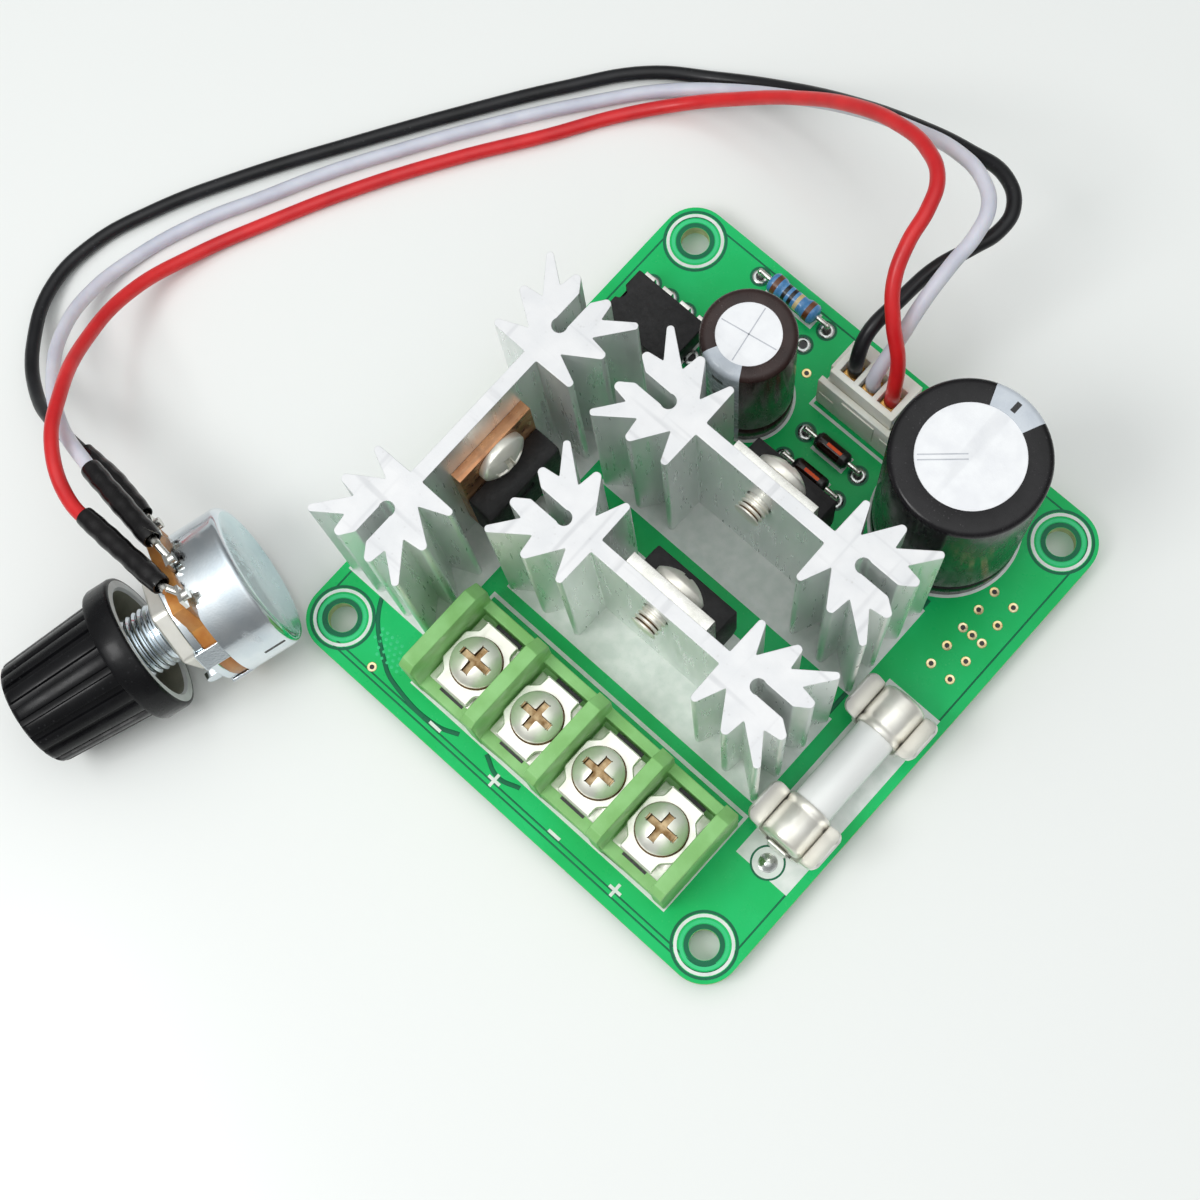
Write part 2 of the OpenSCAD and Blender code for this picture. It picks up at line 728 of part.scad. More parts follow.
module terminal_screw(i) {
    color("gainsboro") translate([pole_x(i), screw_y, screw_seat_z])
        pan_screw(screw_head_d, screw_head_h, screw_d, screw_shank_l, true);
}
module terminal_screw_1() { terminal_screw(1); }
module terminal_screw_2() { terminal_screw(2); }
module terminal_screw_3() { terminal_screw(3); }
module terminal_screw_4() { terminal_screw(4); }

// A clip's section: flat foot, two cheeks round the cap, and flared lips; y = 0 is the fuse's axis
module clip_section() {
    gap = jaw_r * foot_gap_share;
    difference() {
        union() {
            intersection() {
                circle(jaw_r + clip_t);
                translate([0, -jaw_r]) square([2 * jaw_r + 2 * clip_t, 2 * jaw_r], center = true);
            }
            translate([-gap - clip_t, -fuse_rise]) square([2 * gap + 2 * clip_t, fuse_rise]);
        }
        circle(jaw_r);
        translate([-gap, -fuse_rise + clip_t]) square([2 * gap, fuse_rise]);
    }
    for (e = [-1, 1]) scale([e, 1]) translate([jaw_r, 0]) {
        square([clip_t, jaw_rise]);
        translate([0, jaw_rise]) rotate(-jaw_angle) square([clip_t, jaw_flare]);
        translate([0, jaw_rise]) intersection() {
            circle(clip_t);
            square(clip_t);
        }
    }
}
module fuse_clip(e) {
    color("silver") translate([fuse_x, fuse_y + e * clip_offset, 0]) {
        translate([0, clip_l / 2, fuse_z]) rotate([90, 0, 0]) linear_extrude(clip_l) clip_section();
        for (f = [-1, 1]) translate([0, f * clip_feet_gap / 2, -lead_drop])
            block(clip_foot_w, clip_t, lead_drop + seat);
    }
}
module fuse_clip_rear() { fuse_clip(1); }
module fuse_clip_front() { fuse_clip(-1); }

// Puts its children on the fuse's axis, z along it, with z = 0 at the fuse's middle
module on_fuse() {
    translate([fuse_x, fuse_y, fuse_z]) rotate([-90, 0, 0]) children();
}
module fuse_tube() {
    inner_l = fuse_l - 2 * fuse_cap_t;
    color("white") on_fuse() difference() {
        translate([0, 0, -inner_l / 2]) cylinder(h = inner_l, d = fuse_tube_d);
        translate([0, 0, -inner_l / 2 - overrun])
            cylinder(h = inner_l + 2 * overrun, d = fuse_tube_d - 2 * fuse_wall);
    }
}
module fuse_caps() {
    color("silver") on_fuse() for (e = [0, 180]) rotate([e, 0, 0]) difference() {
        translate([0, 0, fuse_l / 2 - fuse_cap_l]) cylinder(h = fuse_cap_l, d = fuse_cap_d);
        translate([0, 0, fuse_l / 2 - fuse_cap_l - overrun])
            cylinder(h = fuse_cap_l + overrun - fuse_cap_t, d = fuse_tube_d + 2 * fit);
    }
}
module fuse_wire() {
    inner_l = fuse_l - 2 * fuse_cap_t;
    color("gray") on_fuse() translate([0, 0, -inner_l / 2]) cylinder(h = inner_l, d = fuse_wire_d);
}

// The side of a capacitor's can, from its foot to its top, for one radius
function can_side(r, h) = [
    [r, 0], [r, cap_groove_z], [r - cap_groove_d, cap_groove_z + cap_groove_w / 2],
    [r, cap_groove_z + cap_groove_w], [r, h - cap_edge], [r - cap_edge / 3, h - cap_edge / 3],
    [r - cap_edge, h]
];
module capacitor_can(i) {
    c = caps[i];
    r = c[2] / 2 - sleeve_t;
    h = c[3] - sleeve_t;
    color("lightgray") translate([c[0], c[1], seat]) difference() {
        rotate_extrude() polygon(concat(can_side(r, h), [[0, h]],
            [[0, h - cap_wall]], backward(can_side(r - cap_wall, h - cap_wall))));
        for (a = [0, 90]) rotate(a) translate([0, 0, h - score_depth])
            block(c[2] * cap_lip_share, score_w, score_depth + overrun);
    }
}
module big_capacitor_can() { capacitor_can(0); }
module small_capacitor_can() { capacitor_can(1); }

// The printed sleeve, shrunk round the can and over the rim of its top
module capacitor_sleeve(i, tone) {
    c = caps[i];
    r = c[2] / 2 - sleeve_t;
    h = c[3] - sleeve_t;
    lip = c[2] * cap_lip_share;
    color(tone) translate([c[0], c[1], seat]) rotate_extrude() polygon(concat(
        can_side(r + sleeve_t, c[3]), [[lip, c[3]], [lip, h]], backward(can_side(r, h))));
}
module big_capacitor_sleeve() { capacitor_sleeve(0, "black"); }
module small_capacitor_sleeve() { capacitor_sleeve(1, "darkslategray"); }

// The rolled foil inside each capacitor
module capacitor_rolls() {
    for (c = caps) color("tan") translate([c[0], c[1], seat + cap_groove_z + cap_groove_w])
        cylinder(h = c[3] - cap_groove_z - cap_groove_w - cap_wall - cap_edge,
            r = c[2] / 2 - 2 * cap_wall - cap_groove_d);
}

// The rubber bung that closes each can's foot
module capacitor_bungs() {
    color("black") for (c = caps) translate([c[0], c[1], seat]) difference() {
        cylinder(h = bung_t, r = c[2] / 2 - sleeve_t - cap_wall - fit);
        for (e = [-1, 1]) translate([e * c[2] * cap_lead_gap_share / 2, 0, -overrun])
            cylinder(h = bung_t + 2 * overrun, d = cap_lead_d + 2 * fit);
    }
}
module capacitor_leads() {
    color("silver") for (h = cap_holes) translate([h[0], h[1], -lead_drop])
        cylinder(h = lead_drop + seat + cap_groove_z + cap_groove_w, d = cap_lead_d);
}

// The chip's body, with the notch that marks its first end
module chip_body() {
    color("dimgray") translate([chip_x, chip_y, seat + chip_rise]) difference() {
        block(chip_l, chip_w, chip_h);
        translate([-chip_l / 2, 0, chip_h / 2]) cylinder(h = chip_h, d = notch_d);
    }
}

// The chip's eight legs, each with a shoulder beside the body
module chip_legs() {
    shoulder_z = seat + chip_rise + chip_h / 2;
    reach = chip_row_gap / 2 - chip_w / 2 + leg_t / 2;
    color("silver") for (i = [0:3], e = [-1, 1])
        translate([chip_x + (i - 1.5) * lead_pitch, chip_y, 0]) {
            translate([0, e * (chip_w / 2 + reach / 2), shoulder_z - leg_t / 2])
                block(leg_shoulder_w, reach, leg_t);
            translate([0, e * chip_row_gap / 2, shoulder_z - chip_rise - chip_h / 2])
                block(leg_shoulder_w, leg_t, chip_h / 2 + chip_rise);
            translate([0, e * chip_row_gap / 2, -lead_drop])
                block(leg_w, leg_t, shoulder_z + lead_drop);
        }
}

// Puts its children on an axial part's axis, z along it
module on_axial(a) {
    translate([a[0], a[1], seat + a[2]]) rotate([0, 90, 0]) children();
}
module resistor_body() {
    a = axials[0];
    color("steelblue") on_axial(a) {
        translate([0, 0, -a[3] + resistor_bulb_l / 2])
            cylinder(h = 2 * a[3] - resistor_bulb_l, r = resistor_d / 2 - silk_w / 2);
        for (e = [0, 180]) rotate([e, 0, 0]) translate([0, 0, a[3] - resistor_bulb_l]) {
            cylinder(h = resistor_bulb_l / 2, d = resistor_d);
            translate([0, 0, resistor_bulb_l / 2])
                cylinder(h = resistor_bulb_l / 2, d1 = resistor_d, d2 = resistor_d / 2);
        }
    }
}
module diodes() {
    color("orangered") for (a = [axials[1], axials[2]]) on_axial(a)
        translate([0, 0, -a[3]]) cylinder(h = 2 * a[3], d = diode_d);
}

// The bent leads of the resistor and the diodes
module small_part_leads() {
    color("silver") for (a = axials, e = [-1, 1]) {
        z = seat + a[2];
        bend = [a[0] + e * (a[3] + lead_reach), a[1], z];
        rod([a[0] + e * a[3], a[1], z], bend, axial_lead_d);
        rod([bend[0], bend[1], -lead_drop], bend, axial_lead_d);
        translate(bend) sphere(d = axial_lead_d * blob_share);
    }
}

// The header: an open box with a low rear wall and a notch in its left wall
module connector_header() {
    color("antiquewhite") translate([plug_x, plug_y, seat]) difference() {
        block(header_w, header_l, header_h);
        translate([0, 0, header_floor])
            block(header_w - 2 * header_wall, header_l - 2 * header_wall, header_h);
        translate([0, header_l / 2, header_back_h])
            block(header_w - 4 * header_wall, 3 * header_wall, header_h);
        translate([-header_w / 2, -header_l / 2 + header_wall + header_notch_w / 2,
            header_h - header_notch_h])
            block(3 * header_wall, header_notch_w, header_h);
        for (i = [-1:1]) translate([i * plug_pitch, 0, -overrun])
            block(pin_w + 2 * fit, pin_w + 2 * fit, header_floor + 2 * overrun);
    }
}
module header_pins() {
    color("gold") for (i = [-1:1]) translate([plug_x + i * plug_pitch, plug_y, -pin_drop])
        block(pin_w, pin_w, pin_drop + seat + header_h - header_floor);
}

// The plug: it stands in the header, wider above it, and has a well for each contact
module plug_housing() {
    color("ivory") translate([plug_x, plug_y, seat + header_floor]) difference() {
        union() {
            block(plug_w, plug_l, header_h - header_floor + plug_rise);
            translate([0, header_wall / 2, header_h - header_floor + plug_gap])
                block(plug_w, plug_l + header_wall, plug_rise - plug_gap);
        }
        for (i = [-1:1]) translate([i * plug_pitch, 0, -overrun])
            block(well_w, well_l, header_h + plug_rise + 2 * overrun);
    }
}

// The three contacts in the plug, each with a socket for a pin and a crimp for a wire
module plug_contacts() {
    bottom = seat + header_floor + plug_gap;
    color("gold") for (i = [-1:1]) translate([plug_x + i * plug_pitch, plug_y, bottom]) difference() {
        block(crimp_w, crimp_l, crimp_top - bottom);
        translate([0, 0, -overrun])
            block(pin_w + 2 * fit, pin_w + 2 * fit, header_h - header_floor + 2 * overrun);
    }
}

// A wire: one tube of flat sides, swept along the points of its route
function unit(v) = v / norm(v);
function heading(p, i) = unit(p[min(i + 1, len(p) - 1)] - p[max(i - 1, 0)]);
function upright(n, t) = unit(n - (n * t) * t);
function sides_of(p) = [
    for (i = 0, n = upright([1, 0, 0], heading(p, 0)); i < len(p);
        i = i + 1, n = i < len(p) ? upright(n, heading(p, i)) : n) n
];
module wire(p) {
    n = wire_sides;
    across = sides_of(p);
    rings = [
        for (i = [0:len(p) - 1], k = [0:n - 1])
            let (a = 360 * k / n, b = cross(heading(p, i), across[i]))
                p[i] + wire_d / 2 * (cos(a) * across[i] + sin(a) * b)
    ];
    walls = [
        for (i = [0:len(p) - 2], k = [0:n - 1], half = [0, 1])
            let (a = i * n + k, b = i * n + (k + 1) % n)
                half == 0 ? [a, a + n, b + n] : [a, b + n, b]
    ];
    first = [for (k = [1:n - 2]) [0, k, k + 1]];
    last = [for (k = [1:n - 2], e = [(len(p) - 1) * n]) [e, e + k + 1, e + k]];
    polyhedron(points = rings, faces = concat(walls, first, last));
}
module wire_black() { color("black") wire(routes[0]); }
module wire_white() { color("white") wire(routes[1]); }
module wire_red() { color("red") wire(routes[2]); }

// The shrink sleeves over the wires' ends and the soldered tails
module wire_sleeves() {
    color("black") for (i = [0:2]) difference() {
        rod(sleeve_starts[i], sleeve_ends[i], sleeve_d);
        rod(toward(sleeve_starts[i], sleeve_ends[i], -overrun),
            toward(sleeve_ends[i], sleeve_starts[i], -overrun), sleeve_d - 2 * sleeve_wall);
    }
}

// Puts its children on the shaft's axis, z from the knob to the can, x down and y to the left
function place_pot(p) =
    let (b = 90 - knob_lean, c = pot_azimuth, x = p[0] * cos(b) + p[2] * sin(b))
        [pot_x + x * cos(c) - p[1] * sin(c), pot_y + x * sin(c) + p[1] * cos(c),
            pot_z - p[0] * sin(b) + p[2] * cos(b)];
module on_pot() {
    translate([pot_x, pot_y, pot_z]) rotate([0, 90 - knob_lean, pot_azimuth]) children();
}

// The can: a cup behind the wafer, with four tabs that hold the pieces together
module pot_can() {
    wrap = mount_plate_t + wafer_t;
    color("silver") on_pot() translate([0, 0, plate_z]) difference() {
        cylinder(h = wrap + can_l, d = can_d);
        translate([0, 0, -overrun])
            cylinder(h = wrap + can_l + overrun - can_wall, d = can_d - 2 * can_wall);
        translate([0, 0, -overrun]) difference() {
            cylinder(h = wrap + overrun, d = can_d + overrun);
            for (a = wrap_angles, e = [-1, 1]) rotate(180 - lug_turn + e * a)
                translate([can_d / 2, 0, 0]) block(can_d / 4, tab_wrap_w, wrap + 2 * overrun);
        }
    }
}

// The mounting plate with its key and the bushing that the shaft turns in
module pot_bushing() {
    color("silver") on_pot() difference() {
        union() {
            translate([0, 0, plate_z]) cylinder(h = mount_plate_t, d = plate_d - 2 * fit);
            translate([0, 0, plate_z - bushing_l]) cylinder(h = bushing_l, d = bushing_d);
            translate([0, -plate_d / 2 * key_share, plate_z - key_l]) block(key_w, key_t, key_l);
        }
        translate([0, 0, plate_z - bushing_l - overrun])
            cylinder(h = bushing_l + mount_plate_t + 2 * overrun, d = shaft_d + 2 * run_fit);
    }
}

// The nut and its washer on the bushing
module pot_nut() {
    bore = bushing_d + 2 * fit;
    color("lightgray") on_pot() {
        difference() {
            translate([0, 0, plate_z - washer_t]) cylinder(h = washer_t, d = washer_d);
            translate([0, 0, plate_z - washer_t - overrun])
                cylinder(h = washer_t + 2 * overrun, d = bore);
        }
        difference() {
            translate([0, 0, plate_z - washer_t - nut_t])
                cylinder(h = nut_t, d = nut_w / cos(30), $fn = 6);
            translate([0, 0, plate_z - washer_t - nut_t - overrun])
                cylinder(h = nut_t + 2 * overrun, d = bore);
        }
    }
}

// The brown wafer with the tongue that its lugs lie on
module pot_wafer() {
    color("saddlebrown") on_pot() translate([0, 0, wafer_z]) difference() {
        union() {
            cylinder(h = wafer_t, d = plate_d - 2 * fit);
            rotate(-lug_turn) translate([-tongue_r, -tongue_w / 2, 0])
                cube([tongue_r, tongue_w, wafer_t]);
        }
        translate([0, 0, -overrun])
            cylinder(h = wafer_t + 2 * overrun, d = shaft_d + 4 * run_fit);
    }
}

// The three lugs and the soldered tails that run into the sleeves
module pot_lugs() {
    color("silver") {
        on_pot() rotate(-lug_turn) for (i = [-1:1]) {
            translate([-lug_end, i * lug_pitch - lug_w / 2, can_z])
                cube([lug_end - lug_start, lug_w, lug_t]);
            translate([-strand_start, i * lug_pitch, can_z])
                cylinder(h = lug_solder_h, d = lug_solder_d);
        }
        for (i = [0:2]) {
            side = (1 - i) * lug_pitch;
            tip = place_pot([-strand_start * cos(lug_turn) + side * sin(lug_turn),
                strand_start * sin(lug_turn) + side * cos(lug_turn), can_z + lug_solder_h / 2]);
            tail_end = routes[i][len(routes[i]) - 1];
            along = (tail_end - sleeve_starts[i]) / norm(tail_end - sleeve_starts[i]);
            rod(tip, sleeve_starts[i], strand_d);
            rod(sleeve_starts[i] - along * strand_d, tail_end - along * lug_t / 2, tail_d);
        }
    }
}

// The rotor on the shaft's end, with the wiper that runs on the wafer
module pot_rotor() {
    color("white") on_pot() {
        translate([0, 0, shaft_end_z]) cylinder(h = rotor_t, d = rotor_d);
        translate([0, (rotor_d - wiper_l) / 2, shaft_end_z - lug_t]) block(wiper_w, wiper_l, lug_t);
    }
}

// The shaft, from inside the knob to the rotor
module shaft() {
    color("gainsboro") on_pot() translate([0, 0, -knob_bore_l])
        cylinder(h = knob_bore_l + shaft_end_z, d = shaft_d);
}

// The knob: a fluted grip on a flange, hollow behind, with a boss round the shaft
module knob() {
    grip_l = knob_l - knob_flange_t;
    root_r = knob_root_d / 2;
    tip_r = knob_tip_d / 2;
    color("black") on_pot() difference() {
        union() {
            translate([0, 0, -knob_flange_t]) cylinder(h = knob_flange_t, d = knob_flange_d);
            difference() {
                translate([0, 0, -knob_l + knob_chamfer])
                    cylinder(h = grip_l - knob_chamfer, r1 = tip_r, r2 = root_r);
                for (k = [1:flutes]) rotate(360 * k / flutes)
                    rod([tip_r + flute_d / 2 - flute_depth, 0, -knob_l - overrun],
                        [root_r + flute_d / 2 - flute_depth, 0, -knob_flange_t], flute_d);
            }
            translate([0, 0, -knob_l])
                cylinder(h = knob_chamfer, r1 = tip_r - knob_chamfer, r2 = tip_r);
        }
        difference() {
            translate([0, 0, -knob_hollow_depth])
                cylinder(h = knob_hollow_depth + overrun, r = knob_hollow_r);
            translate([0, 0, -knob_hollow_depth])
                cylinder(h = knob_hollow_depth - knob_boss_back, r = knob_boss_r);
        }
        translate([0, 0, -knob_bore_l]) cylinder(h = knob_bore_l + overrun, d = shaft_d + 2 * fit);
        translate([-tip_r / 2, 0, -knob_l - overrun])
            block(tip_r, pointer_w, pointer_depth + overrun);
    }
}

circuit_board();
silkscreen();
solder_joints();
heatsink_left();
heatsink_rear();
heatsink_front();
heatsink_pins();
transistor_left_tab();
transistor_rear_tab();
transistor_front_tab();
transistor_left_body();
transistor_rear_body();
transistor_front_body();
heatsink_screws();
terminal_housing();
contact_1();
contact_2();
contact_3();
contact_4();
clamp_plate_1();
clamp_plate_2();
clamp_plate_3();
clamp_plate_4();
terminal_screw_1();
terminal_screw_2();
terminal_screw_3();
terminal_screw_4();
fuse_clip_rear();
fuse_clip_front();
fuse_tube();
fuse_caps();
fuse_wire();
big_capacitor_can();
big_capacitor_sleeve();
small_capacitor_can();
small_capacitor_sleeve();
capacitor_rolls();
capacitor_bungs();
capacitor_leads();
chip_body();
chip_legs();
resistor_body();
diodes();
small_part_leads();
connector_header();
header_pins();
plug_housing();
plug_contacts();
wire_black();
wire_white();
wire_red();
wire_sleeves();
pot_can();
pot_bushing();
pot_nut();
pot_wafer();
pot_lugs();
pot_rotor();
shaft();
knob();
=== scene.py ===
import json
import math

import bmesh
import bpy
from mathutils import Matrix, Vector

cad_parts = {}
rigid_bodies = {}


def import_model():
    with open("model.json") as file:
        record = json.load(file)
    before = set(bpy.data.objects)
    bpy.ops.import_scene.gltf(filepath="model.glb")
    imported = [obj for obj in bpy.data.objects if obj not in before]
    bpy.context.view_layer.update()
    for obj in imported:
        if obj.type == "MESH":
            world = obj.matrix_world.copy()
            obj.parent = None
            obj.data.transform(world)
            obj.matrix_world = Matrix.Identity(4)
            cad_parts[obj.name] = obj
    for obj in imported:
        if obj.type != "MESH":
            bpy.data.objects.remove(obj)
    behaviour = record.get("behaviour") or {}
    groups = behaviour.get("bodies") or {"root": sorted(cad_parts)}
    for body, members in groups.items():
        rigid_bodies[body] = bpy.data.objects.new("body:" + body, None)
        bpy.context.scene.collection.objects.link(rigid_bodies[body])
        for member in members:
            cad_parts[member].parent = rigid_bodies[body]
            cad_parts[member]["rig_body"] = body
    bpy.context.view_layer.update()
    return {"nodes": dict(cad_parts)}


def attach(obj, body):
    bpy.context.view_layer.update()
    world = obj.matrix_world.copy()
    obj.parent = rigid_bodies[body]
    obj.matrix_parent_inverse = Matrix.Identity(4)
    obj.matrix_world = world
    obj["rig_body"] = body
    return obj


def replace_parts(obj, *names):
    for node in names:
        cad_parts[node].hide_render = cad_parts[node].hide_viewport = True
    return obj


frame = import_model()
cad = frame["nodes"]
mm = 0.001
weld, seam = 0.001 * mm, 0.0005 * mm
crease = 32
scene = bpy.context.scene
scene.view_settings.view_transform = "Standard"

# the camera stands where the photograph was taken
camera = {
    "place": (36.16, -36.18, 222.85),
    "right": (0.73898, 0.67112, -0.05916),
    "down": (0.64695, -0.73138, -0.21572),
    "lens": 63.62,
    "sensor": 36,
    "nearest": 10,
}


def standCamera():
    lens = bpy.data.cameras.new("camera")
    lens.lens = camera["lens"]
    lens.sensor_width = camera["sensor"]
    lens.clip_start = camera["nearest"] * mm
    stand = bpy.data.objects.new("camera", lens)
    scene.collection.objects.link(stand)
    right, up = Vector(camera["right"]), -Vector(camera["down"])
    turned = Matrix((right, up, right.cross(up))).transposed().to_4x4()
    stand.matrix_world = Matrix.Translation(Vector(camera["place"]) * mm) @ turned
    scene.camera = stand


standCamera()
print("camera stands")

# the three wires, point by point from the plug over the table to the sleeves at the potentiometer
cords = {
    "diameter": 1.6,
    "lengths": {"black": 185, "white": 178, "red": 176},
    "black": [
        (-1.4, 26.2, 9.8), (-1.4, 26.2, 13), (-2, 28.5, 16), (-1.7, 32.5, 17), (-1, 37.5, 18),
        (0.5, 41.5, 18.5), (1.4, 44.4, 18.8), (0.9, 47.3, 18.9), (-1.8, 49.5, 18.5),
        (-7, 50.12, 16.5), (-14, 50.12, 13), (-22.5, 50, 7), (-30.5, 48.6, 2), (-38, 45.5, -0.8),
        (-44.5, 41, -1), (-50.5, 33.5, -1), (-57, 24, -1), (-64, 13, -1), (-71.5, 0.5, -1),
        (-76, -8.5, -1), (-78.45, -16, -1), (-78.2, -22.5, -0.5), (-74.5, -28.5, 1),
        (-68.5, -32.8, 3.8), (-62, -34.1, 7.7), (-54, -34.2, 10.4),
    ],
    "white": [
        (1.1, 26.2, 9.8), (1.1, 26.2, 13), (1, 29.5, 16.5), (0.6, 33.5, 19), (0.4, 38, 20.5),
        (0.4, 41.5, 21.5), (-0.5, 44.5, 22), (-3, 46.6, 21.5), (-7, 47.8, 20), (-13, 48.2, 16.5),
        (-20.5, 48.2, 11), (-28, 47, 5.5), (-35, 44.6, 1.5), (-41.5, 40.5, -0.8), (-47, 34, -1),
        (-53.5, 25, -1), (-60, 14.8, -1), (-64, 8, -1), (-67.5, 1, -1), (-71, -6, -1),
        (-73.5, -13.5, -1), (-73.8, -20.5, 0.5), (-71.5, -26, 3.2), (-67, -30.4, 6.6),
        (-61, -33.6, 10.2), (-54.5, -34.9, 13.3), (-50.5, -35.3, 14.5),
    ],
    "red": [
        (3.6, 26.2, 9.8), (3.6, 26.2, 13.2), (2.4, 27.8, 17.2), (0, 29.5, 20.3), (-2.3, 32, 22.8),
        (-3.6, 35.5, 24.6), (-4.2, 39, 25.4), (-5.6, 42.2, 25.2), (-8.8, 44.6, 23.6),
        (-13.5, 46, 20.6), (-19.5, 46.4, 16), (-26.5, 45.6, 9.6), (-33, 43.4, 4),
        (-38.5, 40.2, 0.3), (-43.5, 34.8, -1), (-48, 27.8, -1), (-54, 19, -1), (-60, 9, -1),
        (-65, -1, -1), (-68.3, -9, -0.5), (-69.5, -17, 2.2), (-67.2, -24.8, 6.8),
        (-62.2, -31.6, 12.4), (-57.6, -36.2, 14.8), (-52.2, -38.9, 15), (-46.5, -39, 16.1),
    ],
}


def tube(name, paths, diameter, steps=8, smooth=True):
    # a round tube along each path, as one curve; the points carry the radius, which keeps the curve's box true
    curve = bpy.data.curves.new(name, "CURVE")
    curve.dimensions = "3D"
    curve.resolution_u = steps
    curve.bevel_depth = 1
    curve.bevel_resolution = 5
    curve.use_fill_caps = True
    for path in paths:
        spline = curve.splines.new("BEZIER")
        spline.bezier_points.add(len(path) - 1)
        for point, place in zip(spline.bezier_points, path):
            point.co = Vector(place) * mm
            point.radius = diameter / 2 * mm
            kind = "AUTO" if smooth else "VECTOR"
            point.handle_left_type = point.handle_right_type = kind
    piece = bpy.data.objects.new(name, curve)
    scene.collection.objects.link(piece)
    return piece


wires = {}
for shade in cords["lengths"]:
    wire = tube(f"wire_{shade}_cover", [cords[shade]], cords["diameter"])
    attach(wire, "root")
    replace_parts(wire, f"wire_{shade}")
    wires[shade] = wire
print("wires laid")

# finishes


def tone(red, green, blue):
    # a colour as it looks on a screen, 0 to 255, made linear
    def linear(level):
        share = level / 255
        return share / 12.92 if share <= 0.04045 else ((share + 0.055) / 1.055) ** 2.4
    return (linear(red), linear(green), linear(blue), 1)


def newGroup(name, inputs, outputs):
    group = bpy.data.node_groups.new(name, "ShaderNodeTree")
    for label, kind, value in inputs:
        socket = group.interface.new_socket(label, in_out="INPUT", socket_type="NodeSocket" + kind)
        if value is not None:
            socket.default_value = value
    for label, kind in outputs:
        group.interface.new_socket(label, in_out="OUTPUT", socket_type="NodeSocket" + kind)
    return group, group.nodes.new("NodeGroupInput"), group.nodes.new("NodeGroupOutput")


def feed(tree, node, inputs):
    # a node's inputs by name or number: a socket is joined, a value is set
    for name, value in inputs.items():
        if isinstance(value, bpy.types.NodeSocket):
            tree.links.new(value, node.inputs[name])
        else:
            node.inputs[name].default_value = value
    return node


def addNode(tree, kind, inputs, **settings):
    node = tree.nodes.new("ShaderNode" + kind)
    for name, value in settings.items():
        setattr(node, name, value)
    return feed(tree, node, inputs)


def noise(tree, place, scale, detail):
    return addNode(tree, "TexNoise", {"Vector": place, "Scale": scale, "Detail": detail}).outputs["Fac"]


def stretchRange(tree, value, low, high, least=0.0, most=1.0):
    return addNode(tree, "MapRange", {
        "Value": value, "From Min": low, "From Max": high, "To Min": least, "To Max": most}).outputs["Result"]


def join(tree, operation, first, second, **settings):
    return addNode(tree, "Math", {0: first, 1: second}, operation=operation, **settings).outputs[0]


def mixColours(tree, share, first, second):
    return addNode(tree, "Mix", {"Factor": share, 6: first, 7: second}, data_type="RGBA").outputs[2]


# how the textures are cut: the range of a noise that counts, and how fine it is
texture = {
    "soft": (0.35, 0.65), "glossFiner": 3.3, "cloud": 260.0, "cloudShare": (0.45, 0.7), "speck": (0.22, 0.1),
    "scratch": (0.62, 0.7), "scratchWays": ((0.4, (1, 0.05, 0.4)), (-0.9, (0.06, 1, 0.5))),
}


def makeUnevenFinish():
    # two close colours in soft patches, uneven gloss, and a fine grain for the bump
    group, given, out = newGroup(
        "unevenFinish",
        [("Place", "Vector", None), ("Colour", "Color", (1, 1, 1, 1)), ("Second colour", "Color", (1, 1, 1, 1)),
         ("Stretch", "Vector", (1, 1, 1)), ("Patches", "Float", 300), ("Least rough", "Float", 0.3),
         ("Most rough", "Float", 0.4), ("Grains", "Float", 4000)],
        [("Colour", "Color"), ("Roughness", "Float"), ("Height", "Float")])
    have = given.outputs
    place = addNode(group, "VectorMath", {0: have["Place"], 1: have["Stretch"]}, operation="MULTIPLY").outputs[0]
    spread = stretchRange(group, noise(group, place, have["Patches"], 3.0), *texture["soft"])
    closer = join(group, "MULTIPLY", have["Patches"], texture["glossFiner"])
    gloss = noise(group, place, closer, 4.0)
    feed(group, out, {
        "Colour": mixColours(group, spread, have["Colour"], have["Second colour"]),
        "Roughness": stretchRange(group, gloss, *texture["soft"], have["Least rough"], have["Most rough"]),
        "Height": noise(group, place, have["Grains"], 2.0)})
    return group


def makeSpecks():
    # small scattered specks, such as dust and pinholes
    group, given, out = newGroup(
        "specks", [("Place", "Vector", None), ("Specks", "Float", 2500), ("Share", "Float", 0.2)], [("Mask", "Float")])
    have = given.outputs
    cells = addNode(group, "TexVoronoi", {"Vector": have["Place"], "Scale": have["Specks"]})
    near = stretchRange(group, cells.outputs["Distance"], *texture["speck"])
    some = stretchRange(group, noise(group, have["Place"], texture["cloud"], 3.0), *texture["cloudShare"])
    feed(group, out, {"Mask": join(group, "MULTIPLY", join(group, "MULTIPLY", near, some), have["Share"])})
    return group


def makeScratches():
    # long thin scratches that cross each other
    group, given, out = newGroup(
        "scratches", [("Place", "Vector", None), ("Scratches", "Float", 900), ("Share", "Float", 0.3)],
        [("Mask", "Float")])
    have, lines = given.outputs, []
    for turn, thin in texture["scratchWays"]:
        laid = addNode(group, "Mapping", {"Vector": have["Place"], "Rotation": (turn, turn, turn), "Scale": thin})
        lines.append(stretchRange(group, noise(group, laid.outputs[0], have["Scratches"], 2.0), *texture["scratch"]))
    feed(group, out, {"Mask": join(group, "MULTIPLY", join(group, "MAXIMUM", *lines), have["Share"])})
    return group


unevenFinish, speckGroup, scratchGroup = makeUnevenFinish(), makeSpecks(), makeScratches()


